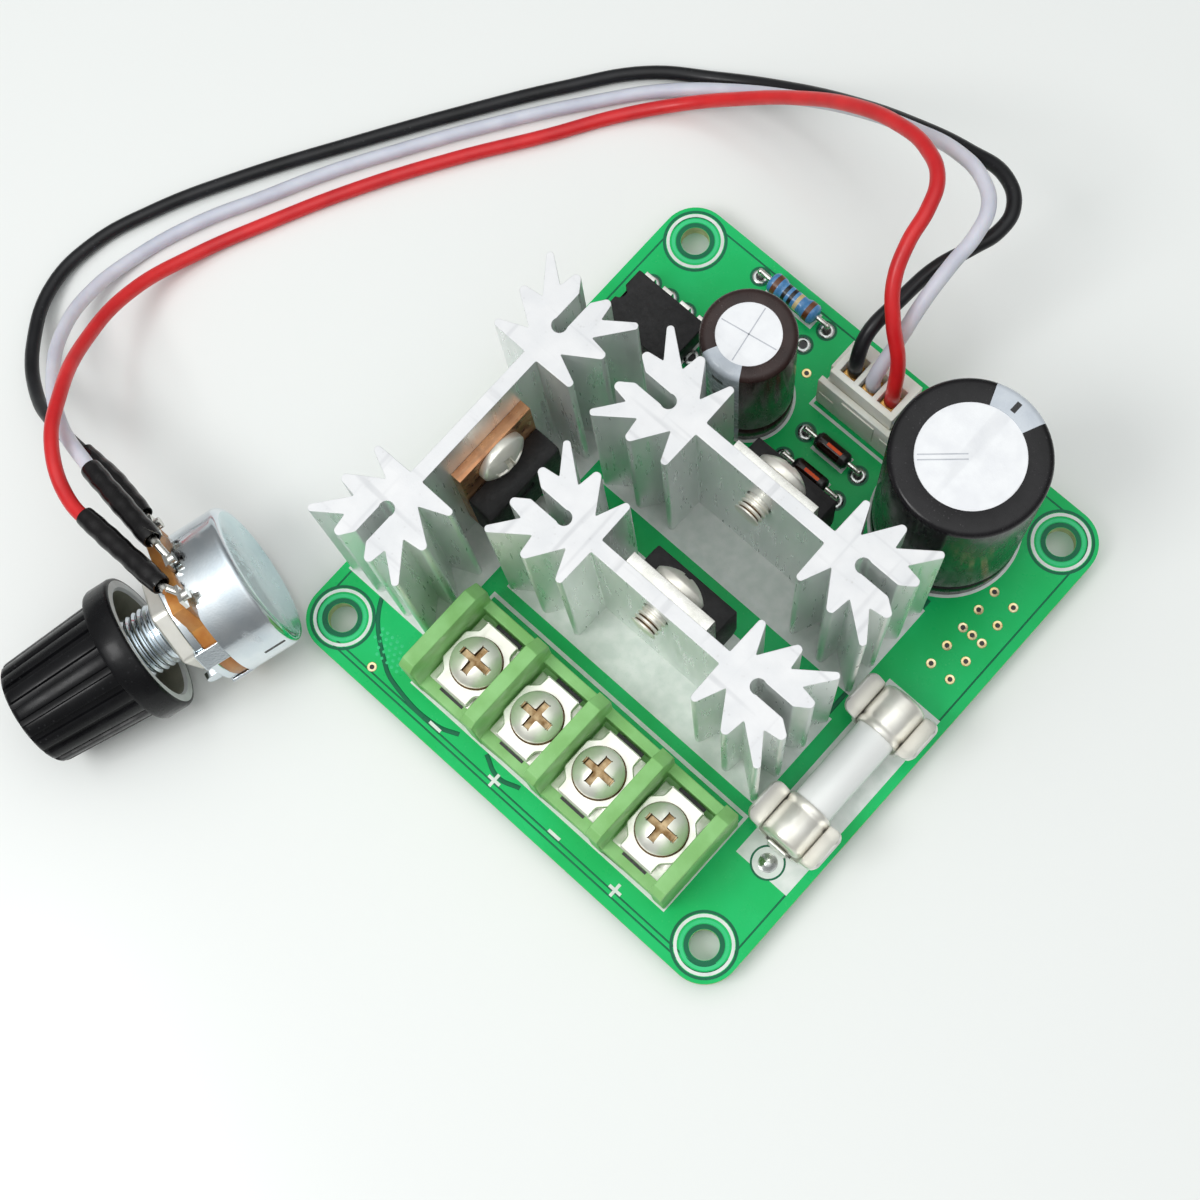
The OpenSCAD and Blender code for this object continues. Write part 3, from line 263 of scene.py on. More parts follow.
def newMaterial(name, colour, second, rough, patches=300, stretch=(1, 1, 1), metal=0, grains=4000, bump=0.2,
                depth=0.05, scratches=None, specks=None, specular=None, coat=None, coatRough=None, subsurface=None):
    # rough is the least and the most; scratches and specks are how fine, how strong, and their colour
    material = bpy.data.materials.new(name)
    material.use_nodes = True
    tree = material.node_tree
    place = addNode(tree, "TexCoord", {}).outputs["Object"]
    finish = addNode(tree, "Group", {
        "Place": place, "Colour": tone(*colour), "Second colour": tone(*second), "Stretch": stretch,
        "Patches": patches, "Least rough": rough[0], "Most rough": rough[1], "Grains": grains,
    }, node_tree=unevenFinish).outputs
    shown, gloss = finish["Colour"], finish["Roughness"]
    for group, marks in ((scratchGroup, scratches), (speckGroup, specks)):
        if marks:
            fine, strong, markColour = marks
            mask = addNode(tree, "Group", {"Place": place, 1: fine, "Share": strong}, node_tree=group).outputs["Mask"]
            shown = mixColours(tree, mask, shown, tone(*markColour))
            gloss = join(tree, "ADD", gloss, mask, use_clamp=True)
    grain = addNode(tree, "Bump", {"Height": finish["Height"], "Strength": bump, "Distance": depth * mm})
    wanted = {
        "Base Color": shown, "Roughness": gloss, "Normal": grain.outputs["Normal"], "Metallic": metal,
        "Specular IOR Level": specular, "Coat Weight": coat, "Coat Roughness": coatRough,
        "Subsurface Weight": subsurface}
    feed(tree, tree.nodes["Principled BSDF"], {key: value for key, value in wanted.items() if value is not None})
    return material


finishes = {
    "boardMask": dict(
        colour=(14, 190, 98), second=(26, 200, 112), rough=(0.26, 0.36), patches=120, grains=2500, bump=0.12,
        depth=0.03, specks=(1800, 0.15, (130, 220, 165)), specular=0.18),
    "maskOverCopper": dict(
        colour=(54, 206, 132), second=(70, 214, 144), rough=(0.24, 0.34), patches=160, grains=2500, bump=0.12,
        depth=0.03, specular=0.2),
    # darker mask where copper is missing, also used for the dark rings round holes and pads, which are partly painted
    # shade
    "maskGapAndShade": dict(
        colour=(12, 104, 70), second=(18, 116, 80), rough=(0.26, 0.36), patches=160, bump=0.1, specular=0.2),
    "laminate": dict(
        colour=(205, 214, 160), second=(176, 196, 138), rough=(0.55, 0.75), patches=900, stretch=(1, 1, 3),
        grains=5000, bump=0.5, specks=(3000, 0.4, (236, 238, 214))),
    "silkInk": dict(
        colour=(238, 242, 238), second=(222, 230, 224), rough=(0.5, 0.65), patches=700, grains=6000, bump=0.4,
        depth=0.02, specks=(4200, 0.3, (170, 205, 182))),
    "solder": dict(
        colour=(205, 208, 205), second=(178, 182, 180), rough=(0.14, 0.34), patches=900, metal=1, grains=2600,
        bump=0.3),
    "copperPad": dict(colour=(214, 190, 130), second=(226, 214, 178), rough=(0.2, 0.35), patches=900, metal=1),
    "sawnTop": dict(
        colour=(239, 239, 240), second=(230, 231, 233), rough=(0.42, 0.54), patches=260, metal=0.2, grains=5200,
        bump=0.5, depth=0.03, scratches=(700, 0.3, (206, 208, 211)), specks=(1500, 0.3, (200, 198, 194))),
    "finSide": dict(
        colour=(246, 249, 247), second=(234, 239, 237), rough=(0.26, 0.38), patches=420, stretch=(1, 1, 0.12),
        metal=0.6, grains=3000, bump=0.012, depth=0.02),
    "tin": dict(
        colour=(228, 227, 222), second=(208, 207, 200), rough=(0.16, 0.3), patches=500, metal=1, grains=5000,
        scratches=(700, 0.12, (244, 243, 238))),
    "nickel": dict(
        colour=(250, 248, 240), second=(241, 238, 227), rough=(0.28, 0.4), metal=0.65, grains=4500, bump=0.1,
        depth=0.03, scratches=(800, 0.12, (220, 216, 204))),
    # brown for the screws' recess walls, thread roots and the ring round each screw head: painted shade, with some
    # tarnish
    "tarnishAndShade": dict(colour=(104, 76, 44), second=(66, 48, 30), rough=(0.35, 0.55), patches=900, metal=0.8, bump=0.3),
    # the screw recesses' floors, painted darker brown than the nickel as the shade in them
    "recessFloorShade": dict(colour=(196, 172, 134), second=(132, 102, 64), rough=(0.3, 0.45), patches=1100, metal=0.8),
    "clipTin": dict(
        colour=(249, 247, 242), second=(242, 240, 234), rough=(0.28, 0.34), patches=120, metal=0.65, grains=900,
        bump=0.004, depth=0.02, specks=(2200, 0.1, (222, 218, 210))),
    "copperTab": dict(
        colour=(212, 158, 116), second=(176, 124, 90), rough=(0.24, 0.38), patches=420, metal=0.9, grains=4200,
        bump=0.25, scratches=(800, 0.35, (236, 196, 160))),
    "epoxy": dict(
        colour=(34, 33, 34), second=(43, 42, 43), rough=(0.45, 0.6), patches=900, grains=5200, bump=0.4, depth=0.04,
        specks=(3600, 0.2, (110, 110, 112)), specular=0.3),
    "stripGreen": dict(
        colour=(148, 206, 130), second=(132, 190, 110), rough=(0.32, 0.44), patches=320, grains=3200, bump=0.25,
        depth=0.03, specks=(2600, 0.15, (186, 222, 168)), specular=0.35),
    "fuseBody": dict(
        colour=(251, 252, 250), second=(243, 246, 244), rough=(0.12, 0.2), stretch=(1, 0.2, 1), bump=0.1, coat=0.4,
        coatRough=0.05),
    "bareCan": dict(
        colour=(243, 244, 246), second=(236, 237, 240), rough=(0.34, 0.46), patches=500, metal=0.25, grains=5600,
        bump=0.3, depth=0.03, scratches=(600, 0.15, (218, 220, 224))),
    "canScore": dict(
        colour=(196, 198, 204), second=(182, 185, 192), rough=(0.34, 0.46), patches=500, metal=0.25, grains=5600,
        bump=0.3),
    "sleeveBlack": dict(
        colour=(16, 15, 17), second=(26, 24, 27), rough=(0.18, 0.3), stretch=(1, 1, 0.3), grains=1800, bump=0.25,
        specks=(2600, 0.2, (150, 145, 148)), specular=0.3),
    "sleeveBrown": dict(
        colour=(46, 33, 31), second=(60, 44, 42), rough=(0.18, 0.3), stretch=(1, 1, 0.3), grains=1800, bump=0.25,
        specks=(2600, 0.2, (150, 145, 148)), specular=0.3),
    "sleeveStripe": dict(
        colour=(204, 211, 219), second=(190, 198, 208), rough=(0.2, 0.32), patches=420, grains=1800, bump=0.25,
        coat=0.5, coatRough=0.08),
    "rubber": dict(colour=(40, 39, 38), second=(54, 52, 50), rough=(0.6, 0.8), patches=600, bump=0.4),
    "resistorBlue": dict(
        colour=(66, 128, 186), second=(88, 150, 204), rough=(0.2, 0.34), patches=700, grains=2600, bump=0.35,
        coat=0.4, coatRough=0.1),
    "bandBrown": dict(colour=(104, 60, 34), second=(120, 74, 44), rough=(0.25, 0.35), bump=0.3),
    # black for real bands, ends and marks, and also painted as the shade in holes, slots and the can's slit
    "blackBandAndShade": dict(colour=(28, 27, 28), second=(40, 38, 38), rough=(0.25, 0.35), bump=0.3),
    "bandCream": dict(colour=(226, 206, 156), second=(214, 190, 136), rough=(0.25, 0.35), bump=0.3),
    "diodeGlass": dict(
        colour=(24, 12, 9), second=(40, 18, 12), rough=(0.08, 0.14), patches=900, stretch=(0.3, 1, 1), bump=0.05,
        specular=0.4),
    # an orange streak painted on each diode's top as the glow of its lit core seen through the glass
    "diodePaintedGlow": dict(
        colour=(255, 104, 30), second=(246, 66, 14), rough=(0.1, 0.16), patches=900, stretch=(0.3, 1, 1), bump=0.05,
        specular=0.2),
    "ivory": dict(
        colour=(250, 248, 236), second=(242, 239, 224), rough=(0.3, 0.42), grains=2600, depth=0.04,
        specks=(2200, 0.12, (214, 208, 186)), subsurface=0.15),
    "gilt": dict(
        colour=(206, 164, 96), second=(176, 132, 72), rough=(0.2, 0.34), patches=800, metal=1, grains=4200,
        bump=0.25),
    "coverBlack": dict(
        colour=(20, 20, 22), second=(30, 30, 33), rough=(0.3, 0.4), patches=240, grains=1500, bump=0.3, depth=0.04,
        specks=(1600, 0.22, (110, 110, 114)), specular=0.35),
    "coverWhite": dict(
        colour=(222, 220, 230), second=(206, 204, 217), rough=(0.34, 0.46), patches=240, grains=1500, bump=0.3,
        depth=0.04, subsurface=0.15),
    "coverRed": dict(
        colour=(228, 36, 42), second=(208, 26, 34), rough=(0.3, 0.42), patches=240, grains=1500, bump=0.3,
        depth=0.04, subsurface=0.12),
    "shrinkFilm": dict(
        colour=(15, 14, 15), second=(26, 24, 25), rough=(0.14, 0.28), patches=500, grains=900, bump=0.5, depth=0.1,
        specular=0.4),
    "zinc": dict(
        colour=(232, 238, 242), second=(212, 222, 229), rough=(0.07, 0.17), patches=260, metal=1, grains=4200,
        bump=0.12, scratches=(600, 0.15, (244, 246, 248))),
    "zincBack": dict(
        colour=(220, 240, 244), second=(204, 228, 234), rough=(0.16, 0.26), patches=200, metal=0.75, grains=4200,
        bump=0.08, scratches=(600, 0.2, (240, 244, 246))),
    "wafer": dict(
        colour=(184, 116, 50), second=(202, 142, 72), rough=(0.3, 0.45), patches=900, stretch=(1, 1, 0.3),
        grains=3500, bump=0.4, specks=(2600, 0.25, (214, 170, 112))),
    "rotor": dict(colour=(226, 222, 208), second=(212, 206, 190), rough=(0.4, 0.55)),
    "knobBlack": dict(
        colour=(13, 13, 15), second=(20, 20, 22), rough=(0.22, 0.32), patches=220, grains=1500, bump=0.12,
        depth=0.04, specks=(1500, 0.12, (110, 110, 114)), specular=0.22),
    "knobGrey": dict(
        colour=(226, 229, 228), second=(210, 213, 212), rough=(0.35, 0.5), patches=400, grains=2600, bump=0.3),
    # the knob's hollow, painted darker olive than the insert as the shade inside it
    "knobHollowShade": dict(
        colour=(138, 138, 122), second=(122, 122, 108), rough=(0.35, 0.5), patches=400, grains=2600, bump=0.3),
}
paint = {name: newMaterial(name, **facts) for name, facts in finishes.items()}
print("finishes mixed:", len(paint))

# pieces


def newPiece(name, bm, body, materials, sharp=crease):
    mesh = bpy.data.meshes.new(name)
    bm.to_mesh(mesh)
    bm.free()
    for material in materials:
        mesh.materials.append(paint[material])
    mesh.shade_smooth()
    if sharp:
        mesh.set_sharp_from_angle(angle=math.radians(sharp))
    piece = bpy.data.objects.new(name, mesh)
    scene.collection.objects.link(piece)
    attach(piece, body)
    return piece


def roundEdges(piece, width, segments=2, angle=crease, limit="ANGLE"):
    edges = piece.modifiers.new("roundEdges", "BEVEL")
    edges.width = width * mm
    edges.segments = segments
    edges.limit_method = limit
    edges.angle_limit = math.radians(angle)
    edges.use_clamp_overlap = False
    edges.harden_normals = True
    return piece


def evenShade(piece):
    # large flat faces keep their own direction next to small rounded ones
    piece.modifiers.new("evenShade", "WEIGHTED_NORMAL").keep_sharp = True


def weldedCopy(node):
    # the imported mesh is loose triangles: a copy is merged, and its flat faces become whole
    bm = bmesh.new()
    bm.from_mesh(cad[node].data)
    bmesh.ops.remove_doubles(bm, verts=bm.verts, dist=weld)
    bmesh.ops.dissolve_limit(bm, angle_limit=math.radians(1), verts=bm.verts, edges=bm.edges)
    bmesh.ops.triangulate(bm, faces=[face for face in bm.faces if len(face.verts) > 4])
    return bm


def dress(node, materials, width=0.06, pick=None, segments=2, reshape=None):
    # the solid's own shape with rounded edges and a real finish; reshape mends it, pick gives a face's material
    bm = weldedCopy(node)
    if reshape:
        reshape(bm)
    for face in bm.faces:
        face.material_index = pick(face) if pick else 0
    weight = bm.edges.layers.float.new("bevel_weight_edge")
    roomy = 2.2 * width * mm
    for edge in bm.edges:
        sharp = len(edge.link_faces) != 2 or edge.calc_face_angle() > math.radians(crease)
        if sharp and width and edge.calc_length() > roomy:
            edge[weight] = 1
        elif sharp:
            edge.smooth = False
    piece = newPiece(node + "_dressed", bm, cad[node]["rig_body"], materials, sharp=0)
    if width:
        roundEdges(piece, width, segments, limit="WEIGHT")
    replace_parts(piece, node)
    return piece


def dressAll(rows):
    for node, slotName, material, width in rows:
        dress(node, [material], width)


def at(x, y, z):
    return Matrix.Translation(Vector((x, y, z)) * mm)


def turn(degrees, axis="Z"):
    return Matrix.Rotation(math.radians(degrees), 4, axis)


def put(bm, verts, matrix):
    bmesh.ops.transform(bm, matrix=matrix, verts=verts)


def facesOf(verts):
    # each face once, in the same order on every run
    return list(dict.fromkeys(face for v in verts for face in v.link_faces))


def edgesOf(verts):
    return list(dict.fromkeys(edge for v in verts for edge in v.link_edges))


def middleOf(face):
    return face.calc_center_median() / mm


def lathe(bm, profile, segments=64, closed=False, start=0, angle=math.tau, place=Matrix()):
    # spins a profile of (radius, height) round Z; a closed one makes a ring or a tube
    before = set(bm.verts)
    turned = Matrix.Rotation(start, 3, "Z")
    verts = [bm.verts.new(turned @ Vector((radius, 0, height)) * mm) for radius, height in profile]
    pairs = list(zip(verts, verts[1:])) + ([(verts[-1], verts[0])] if closed else [])
    edges = [bm.edges.new(pair) for pair in pairs]
    bmesh.ops.spin(bm, geom=verts + edges, cent=(0, 0, 0), axis=(0, 0, 1), angle=angle, steps=segments,
                   use_merge=angle == math.tau)
    bmesh.ops.remove_doubles(bm, verts=[v for v in bm.verts if v not in before], dist=seam)
    made = [v for v in bm.verts if v not in before]
    bmesh.ops.recalc_face_normals(bm, faces=facesOf(made))
    put(bm, made, place)
    return made


def ring(inner, outer, low=0, high=0.012):
    return [(inner, low), (inner, high), (outer, high), (outer, low)]


def box(bm, low, high, place=Matrix()):
    low, high = Vector(low) * mm, Vector(high) * mm
    made = bmesh.ops.create_cube(bm, size=1)["verts"]
    put(bm, made, place @ Matrix.Translation((low + high) / 2) @ Matrix.Diagonal((*(high - low), 1)))
    return made


def plate(bm, outline, low, high, rounding=0, holes=()):
    # a flat piece with rounded corners (one radius, or one for each corner) and round holes (x, y, radius)
    old = set(bm.verts)
    corners = [bm.verts.new(Vector((x, y, low)) * mm) for x, y in outline]
    for pair in zip(corners, corners[1:] + corners[:1]):
        bm.edges.new(pair)
    radii = list(rounding) if isinstance(rounding, (list, tuple)) else [rounding] * len(corners)
    for radius in sorted(set(radii) - {0}):
        bmesh.ops.bevel(
            bm, geom=[v for v, r in zip(corners, radii) if r == radius], offset=radius * mm, offset_type="OFFSET",
            segments=4, profile=0.5, affect="VERTICES", material=-1)
    for x, y, radius in holes:
        circle = bmesh.ops.create_circle(bm, cap_ends=False, radius=radius * mm, segments=28)["verts"]
        put(bm, circle, at(x, y, low))
    edges = edgesOf([v for v in bm.verts if v not in old])
    filled = bmesh.ops.triangle_fill(bm, use_beauty=True, edges=edges)["geom"]
    faces = [g for g in filled if isinstance(g, bmesh.types.BMFace)]
    raised = bmesh.ops.extrude_face_region(bm, geom=faces)["geom"]
    bmesh.ops.translate(bm, vec=(0, 0, (high - low) * mm),
                        verts=[g for g in raised if isinstance(g, bmesh.types.BMVert)])
    made = [v for v in bm.verts if v not in old]
    bmesh.ops.recalc_face_normals(bm, faces=facesOf(made))
    return made


def loft(bm, rings, angles, cuts):
    # a skin through rings of (radius, height, cut, material); cuts says how deep each angle's groove is, 0 to 1
    loops = []
    for radius, height, cut, kind in rings:
        spots = [(radius - cut * deep, angle) for angle, deep in zip(angles, cuts)]
        loops.append([bm.verts.new(Vector((r * math.cos(a), r * math.sin(a), height)) * mm) for r, a in spots])
    for low, high, (radius, height, cut, kind) in zip(loops, loops[1:], rings):
        for k in range(len(angles)):
            bm.faces.new((low[k - 1], low[k], high[k], high[k - 1])).material_index = kind
    bmesh.ops.remove_doubles(bm, verts=bm.verts, dist=seam)
    bmesh.ops.recalc_face_normals(bm, faces=bm.faces)


# circuit board, its print and its solder
board = {
    "top": 1.6, "halfWidth": 30, "halfLength": 32.5, "corner": 4, "sideTilt": 0.5,
    "gaps": [
        [(-24.6, -16), (-24.6, -23.5), (-18.8, -29.3), (-16.5, -30.1), (-10.3, -30.3), (-7.9, -29.4)],
        [(-4.3, -29.0), (-1.8, -30.0), (0.8, -29.3)],
        [(19.65, -14.1), (19.65, 14.5)],
    ],
    "gapWidth": 0.5, "gapHigh": 0.015, "rims": (1.15, 1.75), "rimWidth": 0.2, "rimHigh": 0.012,
    "holes": [(x, y) for x in (-26, 26) for y in (-28.5, 28.5)],
    "dots": [(-21.9 + 0.72 * i + 0.36 * (j % 2), -28.9 + 0.6 * j)
             for j in range(5) for i in range(7) if 1 < i + j < 9],
    "vias": [(x, y) for x in (24.24, 26.82) for y in (19.7, 17.13, 14.57, 11.98, 9.41)]
    + [(25.5, 14.57), (-19.9, -30.3), (-6.65, 25.0)],
    "pads": [(-9.1, 27.2), (-17.4, 18.1), (-17.8, 30.1), (-8.2, 30.1), (-2.3, 19.9), (5.1, 19.9), (-2.3, 16.2),
             (5.1, 16.2)]
    + [(-22.5 + 1.27 * k, 17.8 + side) for k in (-3, -1, 1, 3) for side in (-3.81, 3.81)],
    "fusePad": [(25.3, -17.8)],
    # small turned forms on the board's top: piece, slot, material, and rows of profile, segments and places
    "marks": (
        # the dark rings round the holes and pads are partly the mask's gap and partly painted shade
        ("board_shades_maskGap", "board_green", "maskGapAndShade", (
            (ring(1.64, 2.15), 40, "holes"), (ring(3.28, 3.6), 40, "holes"), (ring(0.87, 1.17), 40, "pads"),
            (ring(1.6, 1.87, 0.045, 0.057), 40, "fusePad"))),
        ("board_shades_maskOverCopper", "board_green", "maskOverCopper", (
            (ring(2.25, 2.62), 40, "holes"), ([(0, 0.014), (0.16, 0.014), (0.2, 0)], 10, "dots"))),
        ("board_vias", "solder", "copperPad", (([(0.27, 0), (0.27, 0.03), (0.5, 0.045), (0.55, 0)], 24, "vias"),)),
        ("board_pads", "solder", "solder", (
            ([(0.44, 0), (0.44, 0.03), (0.54, 0.11), (0.7, 0.12), (0.87, 0.05), (0.92, 0)], 28, "pads"),
            ([(0, 0.5), (0.3, 0.46), (0.55, 0.34), (0.8, 0.16), (1.02, 0.09), (1.05, 0.05)], 32, "fusePad"))),
        ("board_pad_print", "silk_white", "silkInk", ((ring(1.27, 1.65, 0.01, 0.07), 40, "fusePad"),)),
        # black discs in the vias and pads, painted as the shade inside the holes
        ("board_hole_shades", "board_green", "blackBandAndShade", (
            ([(0, 0.02), (0.29, 0.02), (0.29, 0)], 20, "vias"), ([(0, 0.02), (0.46, 0.02), (0.46, 0)], 20, "pads"))),
    ),
    # corners of the print as printed: old place, new place, for the fuse's and the strip's rectangles
    "printX": ((21.65, 22.06), (28.55, 28.95)), "printY": ((-21.4, -19.1), (9.6, 5.3)),
    "stripPrintY": ((-14.7, -15.5), (-15.05, -15.95), (-28.6, -28.8)), "stripPrintX": (-16, 21), "same": 0.02,
}


def movePrint(bm):
    def close(level, old):
        return abs(level / mm - old) < board["same"]
    first, last = board["stripPrintX"]
    for v in bm.verts:
        for old, new in board["stripPrintY"]:
            if close(v.co.y, old) and first < v.co.x / mm < last:
                v.co.y = new * mm
        across = [new for old, new in board["printX"] if close(v.co.x, old)]
        along = [new for old, new in board["printY"] if close(v.co.y, old)]
        if across and along:
            v.co.x, v.co.y = across[0] * mm, along[0] * mm


def flatLines(name, paths, width, height, smooth=False):
    # lines on the board: round tubes pressed flat
    curve = tube(name, [[(x, y, 0) for x, y in path] for path in paths], width, 10, smooth)
    curve.data.bevel_resolution = 2
    flat = bpy.data.meshes.new_from_object(curve)
    bpy.data.objects.remove(curve)
    bm = bmesh.new()
    bm.from_mesh(flat)
    bpy.data.meshes.remove(flat)
    put(bm, bm.verts, at(0, 0, board["top"]) @ Matrix.Diagonal((1, 1, height / (width / 2), 1)))
    newPiece(name, bm, "root", ["maskGapAndShade"], sharp=0)


def dressBoard():
    dress("circuit_board", ["boardMask", "laminate"], 0,
          lambda face: 0 if abs(face.normal.z) > board["sideTilt"] else 1)
    dress("silkscreen", ["silkInk"], 0, reshape=movePrint)
    dress("solder_joints", ["solder"], 0.08)
    flatLines("board_gaps", board["gaps"], board["gapWidth"], board["gapHigh"], smooth=True)
    # a line runs all round near the edge, and a second one along the front
    rims = []
    for inset in board["rims"]:
        x, y, r = board["halfWidth"] - inset, board["halfLength"] - inset, board["corner"] - inset
        turns = [(sx * (x - r) + r * math.cos(a), sy * (y - r) + r * math.sin(a))
                 for sx, sy, first in ((1, 1, 0), (-1, 1, 1), (-1, -1, 2), (1, -1, 3))
                 for a in [math.pi / 2 * (first + k / 6) for k in range(7)]]
        rims.append(turns + turns[:1] if inset == board["rims"][0] else turns[14:27])
    flatLines("board_rims", rims, board["rimWidth"], board["rimHigh"])
    for name, slotName, material, rows in board["marks"]:
        bm = bmesh.new()
        for profile, segments, places in rows:
            for x, y in board[places]:
                lathe(bm, profile, segments, closed=profile[0][0] > 0, place=at(x, y, board["top"]))
        newPiece(name, bm, "root", [material])


dressBoard()
print("board dressed")

# heatsinks with their transistors, screws and pins
heatsinks = {
    "names": ("left", "rear", "front"), "places": ((-23.2, -6.4, -90), (2.4, 7.2, 0), (2.65, -8.1, 0)),
    "webThick": 1.55, "top": 26.65, "seat": 1.65, "tabDown": (5.4, 2.2, 0.4), "upTilt": 0.8,
    "halfLength": 17.55, "halfWidth": 5.95, "star": 9.4, "slotHalf": 0.72, "pinU": 12.38, "pinHole": 0.8,
    # a star's outline over a quarter: how far in, how far out, and whether it is a fin's tip
    "points": [(0.16, 0.121, 0), (0, 0.36, 1), (0.22, 0.46, 0), (0.01, 1, 1), (0.43, 0.555, 0), (0.495, 0.95, 1),
               (0.78, 0.355, 0), (0.96, 0.875, 1)],
    "tipRadius": 0.34, "tipSink": 0.1, "tipRound": 0.29, "valleyRound": 0.16, "edge": 0.07,
    "screwDown": 2.8, "screwRadius": 1.5, "screwTip": 2, "screwHole": 1.54, "wallArea": 100, "same": 0.01,
    # one turn of the thread as heights and shares of its depth; then the tip's cone, and how the solid's tip shrinks
    "threadPitch": 0.5, "threadDepth": 0.26, "thread": ((0, 1), (0.14, 1), (0.24, 0), (0.38, 0)),
    "tipCone": (0.06, 0.3), "tipShare": 0.78, "tipReach": 4, "tipSunk": 0.1,
}


def webFrame(i):
    # on a heatsink's web: X along the web, Y out of it, Z up from the tab's top
    x, y, degrees = heatsinks["places"][i]
    return at(x, y, 0) @ turn(degrees) @ at(
        0, heatsinks["webThick"] / 2, heatsinks["top"] - heatsinks["tabDown"][i])


def sinkOutline():
    # corners and their roundings, all round: each fin's tip is two corners beside its apex
    facts = heatsinks
    spots = [Vector((facts["halfLength"] - facts["star"] * deep, facts["halfWidth"] * wide))
             for deep, wide, _ in facts["points"]]
    spots.append(Vector((facts["halfLength"] - facts["star"], facts["webThick"] / 2)))
    quarter = []
    for k, spot in enumerate(spots):
        if k < len(facts["points"]) and facts["points"][k][2]:
            before, after = spots[k - 1] - spot, spots[k + 1] - spot
            inward = (before.normalized() + after.normalized()).normalized()
            across = Vector((-inward.y, inward.x)) * facts["tipRadius"]
            across = across if across.dot(before) > 0 else -across
            apex = spot + inward * facts["tipSink"]
            quarter += [(apex + across, facts["tipRound"]), (apex - across, facts["tipRound"])]
        else:
            quarter.append((spot, facts["valleyRound"]))
    reach = math.asin(facts["slotHalf"] / facts["pinHole"])
    slot = [(Vector((facts["pinU"], 0)) + facts["pinHole"] * Vector((math.cos(a), -math.sin(a))), 0)
            for a in [reach + (math.tau - 2 * reach) * k / 14 for k in range(15)]]

    def mirrored(corners, x, y):
        return [(Vector((p.x * x, p.y * y)), r) for p, r in corners]
    left = mirrored(quarter, -1, 1)[::-1] + mirrored(slot, -1, 1)[::-1]
    return slot + quarter + left + mirrored(quarter, -1, -1) + mirrored(quarter, 1, -1)[::-1]


def cutWebHole(bm, height):
    # a round hole through the web: both of its faces are filled again round a circle, and the circles are joined
    web, joined = heatsinks["webThick"] / 2, []
    for side in (-1, 1):
        wall = next(f for f in bm.faces
                    if f.normal.y * side > 0.99 and f.calc_area() > heatsinks["wallArea"] * mm * mm
                    and abs(middleOf(f).y - side * web) < heatsinks["same"])
        border = list(wall.edges)
        bmesh.ops.delete(bm, geom=[wall], context="FACES_ONLY")
        radius = heatsinks["screwHole"] * mm
        circle = bmesh.ops.create_circle(bm, cap_ends=False, radius=radius, segments=32)["verts"]
        put(bm, circle, at(0, side * web, height) @ turn(90, "X"))
        edges = edgesOf(circle)
        bmesh.ops.triangle_fill(bm, use_beauty=True, edges=border + edges)
        joined += edges
    bmesh.ops.bridge_loops(bm, edges=joined)
    bmesh.ops.recalc_face_normals(bm, faces=bm.faces)


def screwBack(i):
    # where a screw leaves its web, with Y along the screw
    return webFrame(i) @ at(0, -heatsinks["webThick"], -heatsinks["screwDown"])


def thinTips(bm):
    # the screws' tips are made thinner inside the threads that go over them
    share, reach = heatsinks["tipShare"], heatsinks["tipReach"] * mm
    for i in range(3):
        place = screwBack(i)
        back = place.inverted()
        for v in bm.verts:
            spot = back @ v.co
            if spot.y < -2 * heatsinks["same"] * mm and spot.length < reach:
                v.co = place @ Vector((spot.x * share, spot.y + heatsinks["tipSunk"] * mm, spot.z * share))


def cutThreads():
    bm = bmesh.new()
    pitch, deep, radius = heatsinks["threadPitch"], heatsinks["threadDepth"], heatsinks["screwRadius"]
    end, (cone, inward) = heatsinks["screwTip"] - 2 * heatsinks["same"], heatsinks["tipCone"]
    core = radius - deep
    profile = [(0, 0)] + [(radius - deep * cut, pitch * k + up)
                          for k in range(round(heatsinks["screwTip"] / pitch)) for up, cut in heatsinks["thread"]]
    profile += [(core, end - cone), (core - inward, end), (0, end)]
    for i in range(3):
        made = lathe(bm, profile, 36)
        for face in facesOf(made):
            middle = middleOf(face)
            # the thread roots are painted brown as the shade in the grooves
            face.material_index = 1 if middle.z < end - 0.1 and middle.xy.length < radius - deep * 0.8 else 0
        put(bm, made, screwBack(i) @ turn(90, "X"))
    newPiece("heatsink_screw_threads", bm, "root", ["nickel", "tarnishAndShade"], sharp=60)


def dressHeatsinks():
    for i, name in enumerate(heatsinks["names"]):
        outline = sinkOutline()
        bm = bmesh.new()
        plate(bm, [corner for corner, rounding in outline], heatsinks["seat"], heatsinks["top"],
              [rounding for corner, rounding in outline])
        cutWebHole(bm, heatsinks["top"] - heatsinks["tabDown"][i] - heatsinks["screwDown"])
        for face in bm.faces:
            face.material_index = 1 if face.normal.z > heatsinks["upTilt"] else 0
        x, y, degrees = heatsinks["places"][i]
        put(bm, bm.verts, at(x, y, 0) @ turn(degrees))
        milled = newPiece(f"heatsink_{name}_milled", bm, "root", ["finSide", "sawnTop"])
        evenShade(roundEdges(milled, heatsinks["edge"], 2, 50))
        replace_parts(milled, "heatsink_" + name)
        tab, slotName = ("copperTab", "copper_tab") if name == "left" else ("tin", "bright_tab")
        dress(f"transistor_{name}_tab", [tab], 0.05)
        dress(f"transistor_{name}_body", ["epoxy"], 0.12)
    dress("heatsink_pins", ["tin"], 0.1)
    dress("heatsink_screws", ["nickel"], 0.08, reshape=thinTips)
    cutThreads()


dressHeatsinks()
print("heatsinks dressed")

